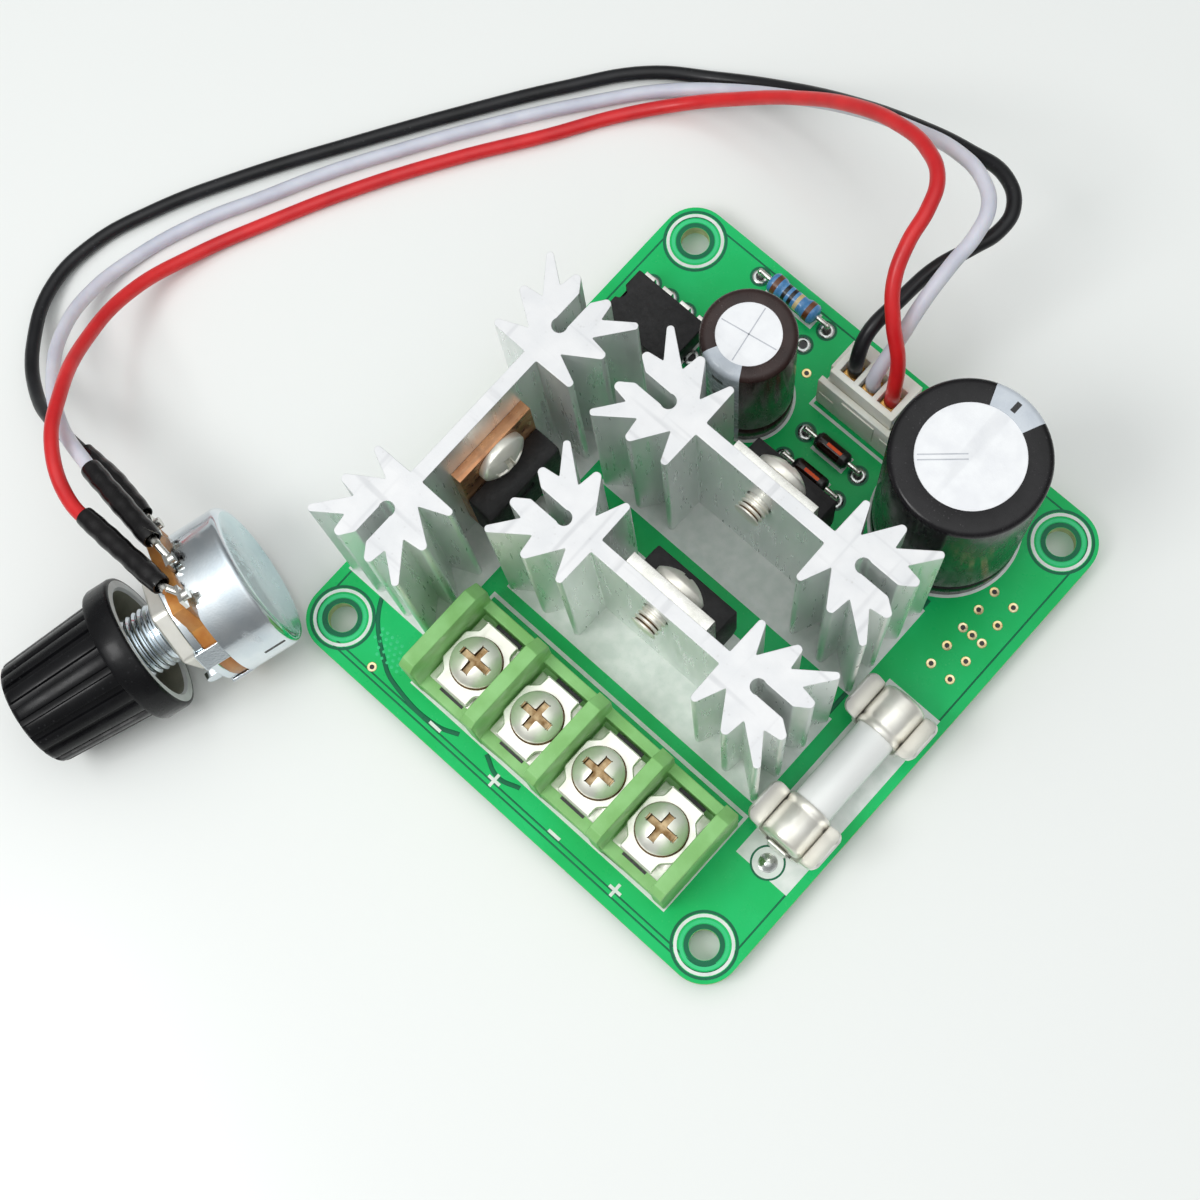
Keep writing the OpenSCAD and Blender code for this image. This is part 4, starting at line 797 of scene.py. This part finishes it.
# terminal strip
strip = {
    "poles": (-10.4, -1.8, 6.8, 15.4), "screwY": -22.94, "edge": 0.12,
    "plate": [(2.15, -4.1), (2.15, -2.8), (3.2, -1.8), (3.2, 1.8), (2.15, 2.8), (2.15, 4.1)],
    "plateLow": 7, "plateHigh": 7.8, "lipLow": 6.1, "lipThick": 0.7, "plateHole": 1.75, "plateRound": 0.22,
    "plateEdge": 0.13, "recess": 2.1, "headLow": 7.9, "floorHigh": 9.3, "shadowRing": (2.62, 2.86),
    "housingEnd": -16.95, "ribOld": -17.7, "ribNew": -18.15, "same": 0.02, "floor": 5.1, "slotHigh": 0.03,
    "slots": (((-1.7, -18.8), (1.8, -18.17)), ((-1.65, -27.4), (1.55, -27.08))),
}


def trimHousing(bm):
    # the housing ends behind its walls, with a wider rib there
    for v in bm.verts:
        if abs(v.co.y / mm - strip["ribOld"]) < strip["same"]:
            v.co.y = strip["ribNew"] * mm
    everything = list(bm.verts) + list(bm.edges) + list(bm.faces)
    bmesh.ops.bisect_plane(bm, geom=everything, dist=weld, plane_co=(0, strip["housingEnd"] * mm, 0),
                           plane_no=(0, 1, 0), clear_outer=True)
    bmesh.ops.triangle_fill(bm, use_beauty=True, edges=[edge for edge in bm.edges if edge.is_boundary])
    bmesh.ops.recalc_face_normals(bm, faces=bm.faces)


def dressPole(i, x):
    centre = Vector((x, strip["screwY"], 0))

    def inRecess(face):
        # the walls and the floor of the slots in a screw's head, painted brown as the shade in them
        middle = middleOf(face) - centre
        if middle.xy.length > strip["recess"] or middle.z < strip["headLow"]:
            return 0
        return 1 if abs(face.normal.z) < 0.5 else 2 if face.normal.z > 0.999 and middle.z < strip["floorHigh"] else 0
    dress(f"contact_{i}", ["nickel"], 0.08)
    dress(f"terminal_screw_{i}", ["nickel", "tarnishAndShade", "recessFloorShade"], 0.09, inRecess)
    bm = bmesh.new()
    half, high = strip["plate"], strip["plateHigh"]
    plate(bm, half + [(-a, -b) for a, b in half], strip["plateLow"], high, strip["plateRound"],
          [(0, 0, strip["plateHole"])])
    wide, long = half[0][0] - 0.1, -half[0][1]
    for side in (-1, 1):
        ends = sorted((side * (long - strip["lipThick"]), side * (long - 0.02)))
        box(bm, (-wide, ends[0], strip["lipLow"]), (wide, ends[1], high - 0.2))
    put(bm, bm.verts, at(x, strip["screwY"], 0))
    body = cad[f"clamp_plate_{i}"]["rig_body"]
    clamp = newPiece(f"clamp_plate_{i}_pressed", bm, body, ["nickel"])
    evenShade(roundEdges(clamp, strip["plateEdge"], 3, 50))
    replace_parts(clamp, f"clamp_plate_{i}")
    # a dark ring on the plate round the screw's head, painted as the shadow in the gap under it
    bm = bmesh.new()
    lathe(bm, ring(*strip["shadowRing"]), 40, closed=True, place=at(x, strip["screwY"], high))
    newPiece(f"clamp_plate_{i}_rim", bm, body, ["tarnishAndShade"])


def dressStrip():
    dress("terminal_housing", ["stripGreen"], strip["edge"], segments=3, reshape=trimHousing)
    for i, x in enumerate(strip["poles"], 1):
        dressPole(i, x)
    # black strips on the floor in front of and behind each plate, painted as the shadow in the slots there
    bm = bmesh.new()
    for x in strip["poles"]:
        for low, high in strip["slots"]:
            box(bm, (x + low[0], low[1], strip["floor"]), (x + high[0], high[1], strip["floor"] + strip["slotHigh"]))
    newPiece("strip_slot_shadows", bm, "root", ["blackBandAndShade"])


dressStrip()
print("terminal strip dressed")

# fuse
fuse = {
    "place": (25.1, -5.9, 5.5), "length": 20, "tubeRadius": 2.3, "wall": 0.5, "tubeShort": 0.3,
    "capRadius": 2.6, "capLength": 5, "dome": 0.55, "bead": 0.12,
    "clips": (("rear", 1.3, 1), ("front", -13.6, -1)), "clipLong": 5.0, "clipEdge": 0.08, "sheet": 0.4,
    "jaw": 2.65, "rise": 0.6, "ear": 2.0, "earLean": 48, "earBend": 0.5, "earCorner": 1.1, "foot": 1.84, "seat": 1.65,
    # the stop just past each clip's end, and the two pins below the clip
    "stop": (0.02, 0.32), "stopHalf": 1.2, "stopLow": 0.1, "stopDown": 0.6, "stopEdge": 0.12,
    "pinApart": 1.6, "pinHalf": (0.55, 0.2), "pinLow": -1.45, "pinHigh": 1.85,
}


def clipSide():
    # half a clip's section from the middle of its foot to its ear's end: across, up, and half its length there
    jaw, half, corner = fuse["jaw"] + fuse["sheet"] / 2, fuse["clipLong"] / 2, fuse["earCorner"]
    foot, low = fuse["foot"], fuse["seat"] - fuse["place"][2] + fuse["sheet"] / 2
    start, lean = -math.acos(foot / jaw), math.radians(fuse["earLean"])
    rise, bend = fuse["rise"], fuse["earBend"]
    side = [(0, low), (foot * 0.5, low), (foot - 0.25, low), (foot - 0.07, low + 0.07), (foot, low + 0.25),
            (foot, jaw * math.sin(start) - 0.2)]
    side += [(jaw * math.cos(a), jaw * math.sin(a)) for a in [start * (1 - k / 10) for k in range(11)]]
    side += [(jaw + bend * (1 - math.cos(a)), rise + bend * math.sin(a)) for a in [lean * k / 4 for k in range(5)]]
    across, up = side[-1]
    side = [(x, z, half) for x, z in side]
    for a in [math.pi / 12 * k for k in range(7)]:
        along = fuse["ear"] - corner * (1 - math.sin(a))
        side.append((across + along * math.sin(lean), up + along * math.cos(lean), half - corner * (1 - math.cos(a))))
    return side


def bendClip(end, centre, outward):
    side = clipSide()
    section = [(-x, z, wide) for x, z, wide in side[:0:-1]] + side
    bm = bmesh.new()
    columns = [[bm.verts.new(Vector((x, share * wide, z)) * mm) for share in (-1, -0.5, 0, 0.5, 1)]
               for x, z, wide in section]
    for near, far in zip(columns, columns[1:]):
        for k in range(4):
            bm.faces.new((near[k], near[k + 1], far[k + 1], far[k]))
    x, _, z = fuse["place"]
    put(bm, bm.verts, at(x, centre, z))
    bmesh.ops.recalc_face_normals(bm, faces=bm.faces)
    clip = newPiece(f"fuse_clip_{end}_bent", bm, "root", ["clipTin"], sharp=60)
    sheet = clip.modifiers.new("sheet", "SOLIDIFY")
    sheet.thickness = fuse["sheet"] * mm
    sheet.offset = 0
    evenShade(roundEdges(clip, fuse["clipEdge"], 2, 60))
    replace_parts(clip, "fuse_clip_" + end)
    bm = bmesh.new()
    near, far = sorted(centre + outward * (fuse["clipLong"] / 2 + away) for away in fuse["stop"])
    wide = fuse["stopHalf"]
    box(bm, (x - wide, near, fuse["seat"] + fuse["stopLow"]), (x + wide, far, z - fuse["stopDown"]))
    wide, thick = fuse["pinHalf"]
    for middle in (centre - fuse["pinApart"], centre + fuse["pinApart"]):
        box(bm, (x - wide, middle - thick, fuse["pinLow"]), (x + wide, middle + thick, fuse["pinHigh"]))
    roundEdges(newPiece(f"fuse_clip_{end}_stop", bm, "root", ["clipTin"]), fuse["stopEdge"])


def dressFuse():
    for clip in fuse["clips"]:
        bendClip(*clip)
    along = at(*fuse["place"]) @ turn(-90, "X")
    half, outer, inner = fuse["length"] / 2, fuse["tubeRadius"], fuse["tubeRadius"] - fuse["wall"]
    stop = half - fuse["tubeShort"]
    bm = bmesh.new()
    lathe(bm, [(inner, -stop), (outer, -stop), (outer, stop), (inner, stop)], 48, closed=True, place=along)
    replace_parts(newPiece("fuse_tube_dressed", bm, "fuse", ["fuseBody"]), "fuse_tube")
    bm = bmesh.new()
    radius, dome, mouth = fuse["capRadius"], fuse["dome"], half - fuse["capLength"]
    waist = radius - fuse["bead"]
    profile = [
        (outer + 0.03, mouth), (radius - 0.1, mouth), (radius, mouth + 0.15), (radius, mouth + 0.6),
        (waist, mouth + 0.8), (waist, mouth + 1.1), (radius, mouth + 1.3), (radius, half - dome),
        (radius - 0.16, half - 0.2), (radius - dome, half), (radius - dome - 0.9, half - 0.06), (0, half - 0.06)]
    for degrees in (0, 180):
        lathe(bm, profile, 48, place=along @ turn(degrees, "X"))
    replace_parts(newPiece("fuse_caps_dressed", bm, "fuse", ["nickel"], sharp=50), "fuse_caps")
    dress("fuse_wire", ["tin"], 0)


dressFuse()
print("fuse dressed")

# the two round capacitors
capacitors = {
    "big": {
        "place": (15.4, 22.1, 1.65), "radius": 8, "height": 24.985, "finish": "sleeveBlack", "slot": "sleeve_black",
        "stripe": 89, "stripeWide": 46, "marks": 4, "scores": ((222, 0.27, 0.04), (222, -0.27, 0.04)),
        "crown": ((5.95, -0.28), (7.1, 0.28))},
    "small": {
        "place": (-9.8, 18.8, 1.65), "radius": 5, "height": 20, "finish": "sleeveBrown", "slot": "sleeve_brown",
        "stripe": 272, "stripeWide": 56, "marks": 3, "scores": ((10, 0, -0.94), (100, 0, -0.94)), "crown": None},
    "film": 0.12, "edge": 0.7, "grooveZ": 2.4, "grooveWide": 1.4, "grooveDeep": 0.5, "lip": 0.68,
    "scoreWide": 0.13, "scoreEnd": 0.94, "printHigh": 0.012,
    "markDown": 3.2, "markSpan": 6, "markHigh": 0.7, "markThick": 0.02, "markShare": 0.28,
    "inside": (("capacitor_rolls", "rolled_foil", "laminate", 0), ("capacitor_bungs", "rubber_bung", "rubber", 0),
               ("capacitor_leads", "tinned_steel", "tin", 0)),
}


def roundedCorner(x, z, r, steps=5):
    # a quarter round from the side (x, z - r) to the top (x - r, z)
    angles = [math.pi / 2 * k / steps for k in range(steps + 1)]
    return [(x - r + r * math.cos(a), z - r + r * math.sin(a)) for a in angles]


def canSide(radius, height):
    z, wide, deep = capacitors["grooveZ"], capacitors["grooveWide"], capacitors["grooveDeep"]
    groove = [(radius - deep / 2 * (1 - math.cos(math.tau * k / 8)), z + wide * k / 8) for k in range(9)]
    return [(radius - 0.12, 0), (radius, 0.15)] + groove + roundedCorner(radius, height, capacitors["edge"])


def dressCapacitor(name):
    facts, film, high = capacitors[name], capacitors["film"], capacitors["printHigh"]
    radius, height, top = facts["radius"], facts["height"], facts["height"] - film
    lip, stand = radius * capacitors["lip"], at(*facts["place"])
    middle, wide = math.radians(facts["stripe"]), math.radians(facts["stripeWide"])
    bm = bmesh.new()
    made = lathe(bm, canSide(radius, height) + [(lip + 0.1, height), (lip, height - 0.03), (lip - 0.02, top)], 120)
    for face in bm.faces:
        spot = middleOf(face)
        away = (math.atan2(spot.y, spot.x) - middle + math.pi) % math.tau - math.pi
        face.material_index = 1 if abs(away) < wide / 2 else 0
    put(bm, made, stand)
    sleeve = newPiece(name + "_capacitor_film", bm, "root", [facts["finish"], "sleeveStripe"], sharp=40)
    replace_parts(sleeve, name + "_capacitor_sleeve")
    bm = bmesh.new()
    lathe(bm, canSide(radius - film, top) + [(lip, top), (0, top)], 96, place=stand)
    can = newPiece(name + "_capacitor_shell", bm, "root", ["bareCan"], sharp=40)
    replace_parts(can, name + "_capacitor_can")
    bm = bmesh.new()
    half, reach = capacitors["scoreWide"] / 2, lip * capacitors["scoreEnd"]
    for degrees, aside, first in facts["scores"]:
        box(bm, (lip * first, aside - half, top), (reach, aside + half, top + high), stand @ turn(degrees))
    newPiece(name + "_capacitor_scores", bm, "root", ["canScore"])
    # minus marks down the stripe, and one on the big capacitor's shoulder
    bm = bmesh.new()
    if facts["crown"]:
        low, far = facts["crown"]
        box(bm, (*low, height), (*far, height + high), stand @ turn(facts["stripe"]))
    arc, out = wide * capacitors["markShare"], radius + capacitors["markThick"]
    for k in range(facts["marks"]):
        low = height - capacitors["markDown"] - k * (height - capacitors["markSpan"]) / facts["marks"]
        high = low + capacitors["markHigh"]
        profile = [(radius, low), (out, low), (out, high), (radius, high)]
        lathe(bm, profile, 8, closed=True, start=middle - arc / 2, angle=arc, place=stand)
    newPiece(name + "_capacitor_minus", bm, "root", ["blackBandAndShade"])


dressCapacitor("big")
dressCapacitor("small")
dressAll(capacitors["inside"])
print("capacitors dressed")

# chip, resistor, diodes and their leads
axial = {
    "plain": (("chip_body", "moulded_epoxy", "epoxy", 0.12), ("chip_legs", "tinned_steel", "tin", 0.04),
              ("small_part_leads", "tinned_steel", "tin", 0)),
    "resistor": (-13, 30.1, 3.2), "resistorHalf": 3.3, "resistorRadius": 1.2, "resistorWaist": 1.0,
    "colours": ["resistorBlue", "bandBrown", "blackBandAndShade", "bandCream"],
    "bands": ((-2.6, -2.0, 1), (-1.2, -0.75, 2), (-0.35, 0.1, 2), (0.5, 0.95, 3), (2.0, 2.6, 1)), "step": 0.15,
    "diodes": ((1.4, 19.9, 2.95), (1.4, 16.2, 2.95)), "diodeHalf": 2.2, "diodeRadius": 0.95,
    # a diode's black end and its band, as heights, and how wide its orange streak is, a painted glow of the lit core
    "dark": (-1.7, 1.2), "streak": 0.26, "streakLow": -0.75,
}


def girth(level):
    # the resistor's radius: thick ends, and a waist between them
    half, end, waist = axial["resistorHalf"], axial["resistorRadius"], axial["resistorWaist"]
    share = min(1, max(0, (abs(level) - (half - 1.9)) / 0.5))
    return waist + (end - waist) * share * share * (3 - 2 * share)


def dressResistor():
    half, end = axial["resistorHalf"], axial["resistorRadius"]
    foot = [(0, half), (end * 0.5, half), (end * 0.86, half - 0.18)]
    levels = {level for low, high, colour in axial["bands"] for level in (low, high)}
    levels |= {half - 1.5, 1.5 - half} | {axial["step"] * k for k in range(-19, 20)}
    profile = [(r, -h) for r, h in foot] + [(girth(h), h) for h in sorted(levels) if abs(h) < half - 0.35] + foot[::-1]
    bm = bmesh.new()
    made = lathe(bm, profile, 40)
    for face in bm.faces:
        level = middleOf(face).z
        found = [colour for low, high, colour in axial["bands"] if low < level < high]
        face.material_index = found[0] if found else 0
    put(bm, made, at(*axial["resistor"]) @ turn(90, "Y"))
    resistor = newPiece("resistor_dressed", bm, "root", axial["colours"], sharp=50)
    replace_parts(resistor, "resistor_body")


def dressDiodes():
    radius, half, (black, band) = axial["diodeRadius"], axial["diodeHalf"], axial["dark"]
    foot = [(0, half), (radius * 0.6, half), (radius * 0.95, half - 0.25), (radius, half - 0.5)]
    profile = [(r, -h) for r, h in foot] + [(radius, axial["streakLow"]), (radius, band)] + foot[::-1]
    bm = bmesh.new()
    for place in axial["diodes"]:
        made = lathe(bm, profile, 32)
        for face in facesOf(made):
            middle = middleOf(face)
            # faces along the top get the painted glow
            lit = abs(math.atan2(middle.y, -middle.x)) < axial["streak"] and axial["streakLow"] < middle.z < band
            face.material_index = 1 if middle.z > band or middle.z < black else 2 if lit else 0
        put(bm, made, at(*place) @ turn(90, "Y"))
    glass = newPiece("diodes_dressed", bm, "root", ["diodeGlass", "blackBandAndShade", "diodePaintedGlow"], sharp=50)
    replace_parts(glass, "diodes")


dressAll(axial["plain"])
dressResistor()
dressDiodes()
print("small parts dressed")

# connector and its plug
connector = {
    "header": (("connector_header", "connector_ivory", "ivory", 0.1),),
    "panels": (((-0.5, 23.15, 3.4), (3.9, 23.35, 7.7)), ((-3.6, 23.2, 2.4), (-1.6, 23.35, 5.4)),
               ((4.8, 23.2, 2.4), (5.9, 23.35, 6.2))),
    "panelEdge": 0.06,
    "inside": (("header_pins", "gilt_contact", "gilt", 0.05), ("plug_housing", "connector_ivory", "ivory", 0.09),
               ("plug_contacts", "gilt_contact", "gilt", 0.06)),
}


def dressConnector():
    dressAll(connector["header"])
    bm = bmesh.new()
    for low, high in connector["panels"]:
        box(bm, low, high)
    roundEdges(newPiece("header_panels", bm, "root", ["ivory"]), connector["panelEdge"])
    dressAll(connector["inside"])


dressConnector()
print("connector dressed")

# wires: covers and the shrunk sleeves on their ends
sleeves = {
    "black": ((-46, -34.8, 12.7), (-57, -34, 9.5)),
    "white": ((-42, -36.1, 16.7), (-53.5, -35, 13.7)),
    "red": ((-37.5, -38.9, 17.9), (-49.5, -39, 15.5)),
    "radius": 1.16, "inner": 0.85, "ripple": 0.05, "steps": 40,
}


def shrinkSleeve(shade):
    # a rippled film, drawn in at both ends; the black one bulges between them
    start, end = (Vector(place) for place in sleeves[shade])
    length = (end - start).length
    outside = []
    for k in range(sleeves["steps"] + 1):
        share = k / sleeves["steps"]
        h = length * share
        wave = sleeves["ripple"] * math.sin(h * 2.1 + len(shade)) * math.sin(h * 0.9)
        mouth = 0.12 * (math.exp(-h / 0.4) + math.exp(-(length - h) / 0.4))
        bulge = 0.36 * math.sin(math.pi * share) - 0.1 * share - 0.18 + mouth if shade == "black" else 0
        outside.append((sleeves["radius"] + wave - mouth + bulge, h))
    bm = bmesh.new()
    way = Matrix.Translation(start * mm) @ (end - start).to_track_quat("Z", "Y").to_matrix().to_4x4()
    lathe(bm, [(sleeves["inner"], 0)] + outside + [(sleeves["inner"], length)], 32, closed=True, place=way)
    return newPiece("sleeve_" + shade, bm, "root", ["shrinkFilm"], sharp=60)


def dressWires():
    for shade, wire in wires.items():
        wire.data.materials.append(paint["cover" + shade.capitalize()])
        sleeve = shrinkSleeve(shade)
        if shade == "black":
            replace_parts(sleeve, "wire_sleeves")


dressWires()
print("wires dressed")

# potentiometer, along its shaft: the knob is on the negative side, the can on the positive
pot = {
    "place": (-38.2, -44, 6.492), "azimuth": 72, "lean": 8.673, "lugTurn": 22, "lift": 90,
    "plain": (("pot_wafer", "phenolic_wafer", "wafer", 0.08), ("pot_lugs", "tinned_steel", "tin", 0),
              ("pot_rotor", "rotor_plastic", "rotor", 0.1), ("shaft", "can_aluminium", "zinc", 0.2)),
    "plateZ": 5.2, "plateRadius": 7.87, "plateEdge": 0.15, "waferZ": 6.2, "bushing": 3.5, "bore": 3.06,
    "bushingEnd": -1.8, "threads": 6, "threadPitch": 0.72, "threadDeep": 0.26,
    # one turn of the thread, as heights and shares of its depth
    "thread": ((0.08, 0), (0.32, 1), (0.4, 1), (0.64, 0)),
    "keyHalf": 1.1, "keyLow": 3.4, "keyHigh": 5.5, "keyThick": 0.8, "keyY": -6.8, "keyRound": 0.935,
    "nutWide": 10, "nutLow": 2.7, "nutHigh": 4.7, "nutHole": 3.52, "nutRound": 0.5, "nutEdge": 0.28,
    "washerRadius": 6, "washerEdge": 0.1, "gap": 0.02,
    "canZ": 7.8, "canTop": 13.8, "canRadius": 8.3, "canRound": 0.8, "wall": 0.4, "edge": 0.1,
    "tabs": (75, -75, 140, -140), "tabWide": 2.4, "tabFoot": 1.3, "slit": 260, "slitHalf": 0.22, "slitZ": (10.5, 13.0),
}
potFrame = at(*pot["place"]) @ turn(pot["azimuth"]) @ turn(pot["lift"] - pot["lean"], "Y")


def onPot(name, bm, node, materials, width=0):
    # a finished piece in the potentiometer's frame, in the place of the node
    put(bm, bm.verts, potFrame)
    piece = newPiece(name, bm, cad[node]["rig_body"], materials, sharp=40)
    if width:
        evenShade(roundEdges(piece, width, 2, 50))
    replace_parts(piece, node)


def dressBushing():
    # the plate with its threaded bushing and its key
    bore, outer, shadow_ring, low = pot["bore"], pot["bushing"], pot["plateRadius"], pot["bushingEnd"]
    high, top, edge = pot["plateZ"], pot["waferZ"], pot["plateEdge"]
    profile = [(bore, low), (outer - 0.25, low), (outer, low + 0.2)]
    profile += [(outer - pot["threadDeep"] * deep, low + 0.25 + k * pot["threadPitch"] + up)
                for k in range(pot["threads"]) for up, deep in pot["thread"]]
    profile += [(outer, high), (shadow_ring - edge, high), (shadow_ring, high + edge), (shadow_ring, top - edge), (shadow_ring - edge, top)]
    profile.append((bore, top))
    bm = bmesh.new()
    lathe(bm, profile, 96, closed=True)
    onPot("pot_bushing_turned", bm, "pot_bushing", ["zinc"])
    half, thick, low, high = pot["keyHalf"], pot["keyThick"] / 2, pot["keyLow"], pot["keyHigh"]
    bm = bmesh.new()
    plate(bm, [(-half, low), (half, low), (half, high), (-half, high)], -thick, thick,
          [pot["keyRound"], pot["keyRound"], 0, 0])
    put(bm, bm.verts, at(0, pot["keyY"], 0) @ Matrix(((1, 0, 0, 0), (0, 0, 1, 0), (0, 1, 0, 0), (0, 0, 0, 1))))
    bmesh.ops.recalc_face_normals(bm, faces=bm.faces)
    onPot("pot_key", bm, "pot_bushing", ["zinc"], pot["edge"])


def dressNut():
    corner = pot["nutWide"] / 2 / math.cos(math.pi / 6)
    hexagon = [(corner * math.cos(math.pi / 3 * k), corner * math.sin(math.pi / 3 * k)) for k in range(6)]
    hole, low, high = pot["nutHole"], pot["nutHigh"], pot["plateZ"] - pot["gap"]
    bm = bmesh.new()
    plate(bm, hexagon, pot["nutLow"], low - pot["gap"], pot["nutRound"], [(0, 0, hole)])
    onPot("pot_nut_pressed", bm, "pot_nut", ["nickel"], pot["nutEdge"])
    wide, edge = pot["washerRadius"], pot["washerEdge"]
    bm = bmesh.new()
    profile = [(hole, low), (wide - edge, low), (wide, low + edge)]
    lathe(bm, profile + [(r, low + high - z) for r, z in profile[::-1]], 72, closed=True)
    onPot("pot_washer", bm, "pot_nut", ["nickel"])


def dressCan():
    # the can with its slit, painted black as the shade inside it, and the tabs that fold it onto the plate
    wide, top, wall, corner, foot = pot["canRadius"], pot["canTop"], pot["wall"], pot["canRound"], pot["canZ"]
    profile = [(0, top - wall)] + roundedCorner(wide - wall, top - wall, corner - wall)[::-1]
    profile += [(wide - wall, foot), (wide, foot)] + roundedCorner(wide, top, corner, 8)
    profile += [(wide - corner - 0.6, top - 0.02), (wide - corner - 0.7, top - 0.06), (0, top - 0.06)]
    bm = bmesh.new()
    lathe(bm, profile, 120)
    for face in bm.faces:
        middle = middleOf(face)
        face.material_index = 1 if middle.z > top - 0.1 and middle.xy.length < wide - corner else 0
    onPot("pot_can_drawn", bm, "pot_can", ["zinc", "zincBack"])
    half, seat = pot["tabWide"] / 2, pot["plateZ"]
    bm = bmesh.new()
    for degrees in pot["tabs"]:
        way = turn(180 - pot["lugTurn"] + degrees)
        box(bm, (wide - wall + 0.03, -half, seat - 0.25), (wide - 0.02, half, foot + 0.05), way)
        box(bm, (wide - pot["tabFoot"], -half, seat - 0.3), (wide - 0.05, half, seat - 0.02), way)
    onPot("pot_tabs", bm, "pot_can", ["zinc"], pot["edge"])
    # the slit is a black patch painted as the shade inside it
    half, (low, high) = pot["slitHalf"], pot["slitZ"]
    bm = bmesh.new()
    box(bm, (wide - 0.1, -half, low), (wide + 0.004, half, high), turn(pot["slit"]))
    onPot("pot_can_slit_shade", bm, "pot_can", ["blackBandAndShade"])


dressAll(pot["plain"])
dressBushing()
dressNut()
dressCan()
print("potentiometer dressed")

# the knob: a grooved grip on a flange, with a pale insert behind, and its hollow painted darker olive as painted shade
knob = {
    "flange": 7.9, "flangeThick": 3.2, "root": 6.8, "tip": 6.1, "length": 15, "cut": 0.44,
    "hollow": 6.4, "hollowDeep": 3.4, "boss": 4.5, "bossBack": 2.6, "bore": 3.03, "boreEnd": 12, "insert": 7.46,
    # the nose: how far in from the tip's radius, how far back from the front, and how deep the flutes are
    "nose": ((6.1, 0, 0), (1.1, 0, 0), (0.65, 0.02, 0), (0.3, 0.12, 0.05), (0.08, 0.35, 0.3), (0, 0.7, 0.44)),
    "flutes": 18, "flute": ((-5.4, 0), (-3.9, 0.12), (-2.9, 0.9), (0, 1), (2.9, 0.9), (3.9, 0.12), (5.4, 0), (10, 0)),
    "pointer": ((-4.95, -0.3, -15), (-0.8, 0.3, -14.95)),
}


def dressKnob():
    tip, root, cut, flange, thick = (knob[key] for key in ("tip", "root", "cut", "flange", "flangeThick"))
    hollow, deep, boss, back = (knob[key] for key in ("hollow", "hollowDeep", "boss", "bossBack"))
    bore, end = knob["bore"], knob["boreEnd"]
    front = 0.02 - knob["length"]
    rings = [(tip - inward, front + behind, groove, 0) for inward, behind, groove in knob["nose"]]
    start = rings[-1][1]
    grip = -thick - 0.3 - start
    rings += [(tip + (root - tip) * k / 4, start + grip * k / 4, cut, 0) for k in range(1, 5)]
    rings += [
        (root + 0.05, -thick - 0.1, cut * 0.6, 0), (root + 0.3, -thick, 0, 0), (flange - 0.5, -thick + 0.02, 0, 0),
        (flange - 0.15, -thick + 0.15, 0, 0), (flange, -thick + 0.5, 0, 0), (flange, -0.4, 0, 0),
        (flange - 0.1, -0.12, 0, 0), (flange - 0.26, -0.02, 0, 0), (knob["insert"], -0.02, 0, 1),
        (hollow + 0.25, -0.03, 0, 1), (hollow, -0.35, 0, 2), (hollow, -deep, 0, 2), (boss, -deep, 0, 2),
        (boss, -back, 0, 2), (bore, -back, 0, 0), (bore, -end, 0, 0), (0, -end, 0, 0)]
    turns = [(math.radians(360 / knob["flutes"] * k + step), groove)
             for k in range(knob["flutes"]) for step, groove in knob["flute"]]
    bm = bmesh.new()
    loft(bm, rings, [angle for angle, groove in turns], [groove for angle, groove in turns])
    onPot("knob_moulded", bm, "knob", ["knobBlack", "knobGrey", "knobHollowShade"])
    bm = bmesh.new()
    box(bm, *knob["pointer"])
    onPot("knob_pointer", bm, "knob", ["silkInk"])


dressKnob()
print("knob dressed")

# table, light and surroundings
studio = {
    "table": -1.82, "tableSize": 4000, "tableColour": tone(241, 243, 241), "tableRough": 0.22,
    "sky": (0.96, 0.98, 0.98, 1), "low": 0.26, "high": 1.8, "steep": 4.0,
    "lamps": (("lampLeft", (-100, -250, 400), 180, 0.7),),
}


def layTable():
    bm = bmesh.new()
    bmesh.ops.create_grid(bm, x_segments=1, y_segments=1, size=studio["tableSize"] / 2 * mm)
    put(bm, bm.verts, at(0, 0, studio["table"]))
    mesh = bpy.data.meshes.new("table")
    bm.to_mesh(mesh)
    bm.free()
    table = bpy.data.objects.new("table", mesh)
    scene.collection.objects.link(table)
    material = bpy.data.materials.new("tableTop")
    material.use_nodes = True
    feed(material.node_tree, material.node_tree.nodes["Principled BSDF"], {
        "Base Color": studio["tableColour"], "Roughness": studio["tableRough"]})
    mesh.materials.append(material)


def lightStudio():
    # a white room, brighter overhead than at its walls
    world = bpy.data.worlds.new("surroundings")
    scene.world = world
    world.use_nodes = True
    tree = world.node_tree
    way = addNode(tree, "SeparateXYZ", {0: addNode(tree, "TexCoord", {}).outputs["Generated"]}).outputs["Z"]
    steep = join(tree, "POWER", join(tree, "MAXIMUM", way, 0.0), studio["steep"])
    feed(tree, tree.nodes["Background"], {
        "Color": studio["sky"], "Strength": stretchRange(tree, steep, 0.0, 1.0, studio["low"], studio["high"])})
    for name, place, size, power in studio["lamps"]:
        lamp = bpy.data.lights.new(name, "AREA")
        lamp.size = size * mm
        lamp.energy = power
        stand = bpy.data.objects.new(name, lamp)
        scene.collection.objects.link(stand)
        stand.location = Vector(place) * mm
        stand.rotation_euler = (-Vector(place)).to_track_quat("-Z", "Y").to_euler()


layTable()
lightStudio()
print("table and lamps stand")
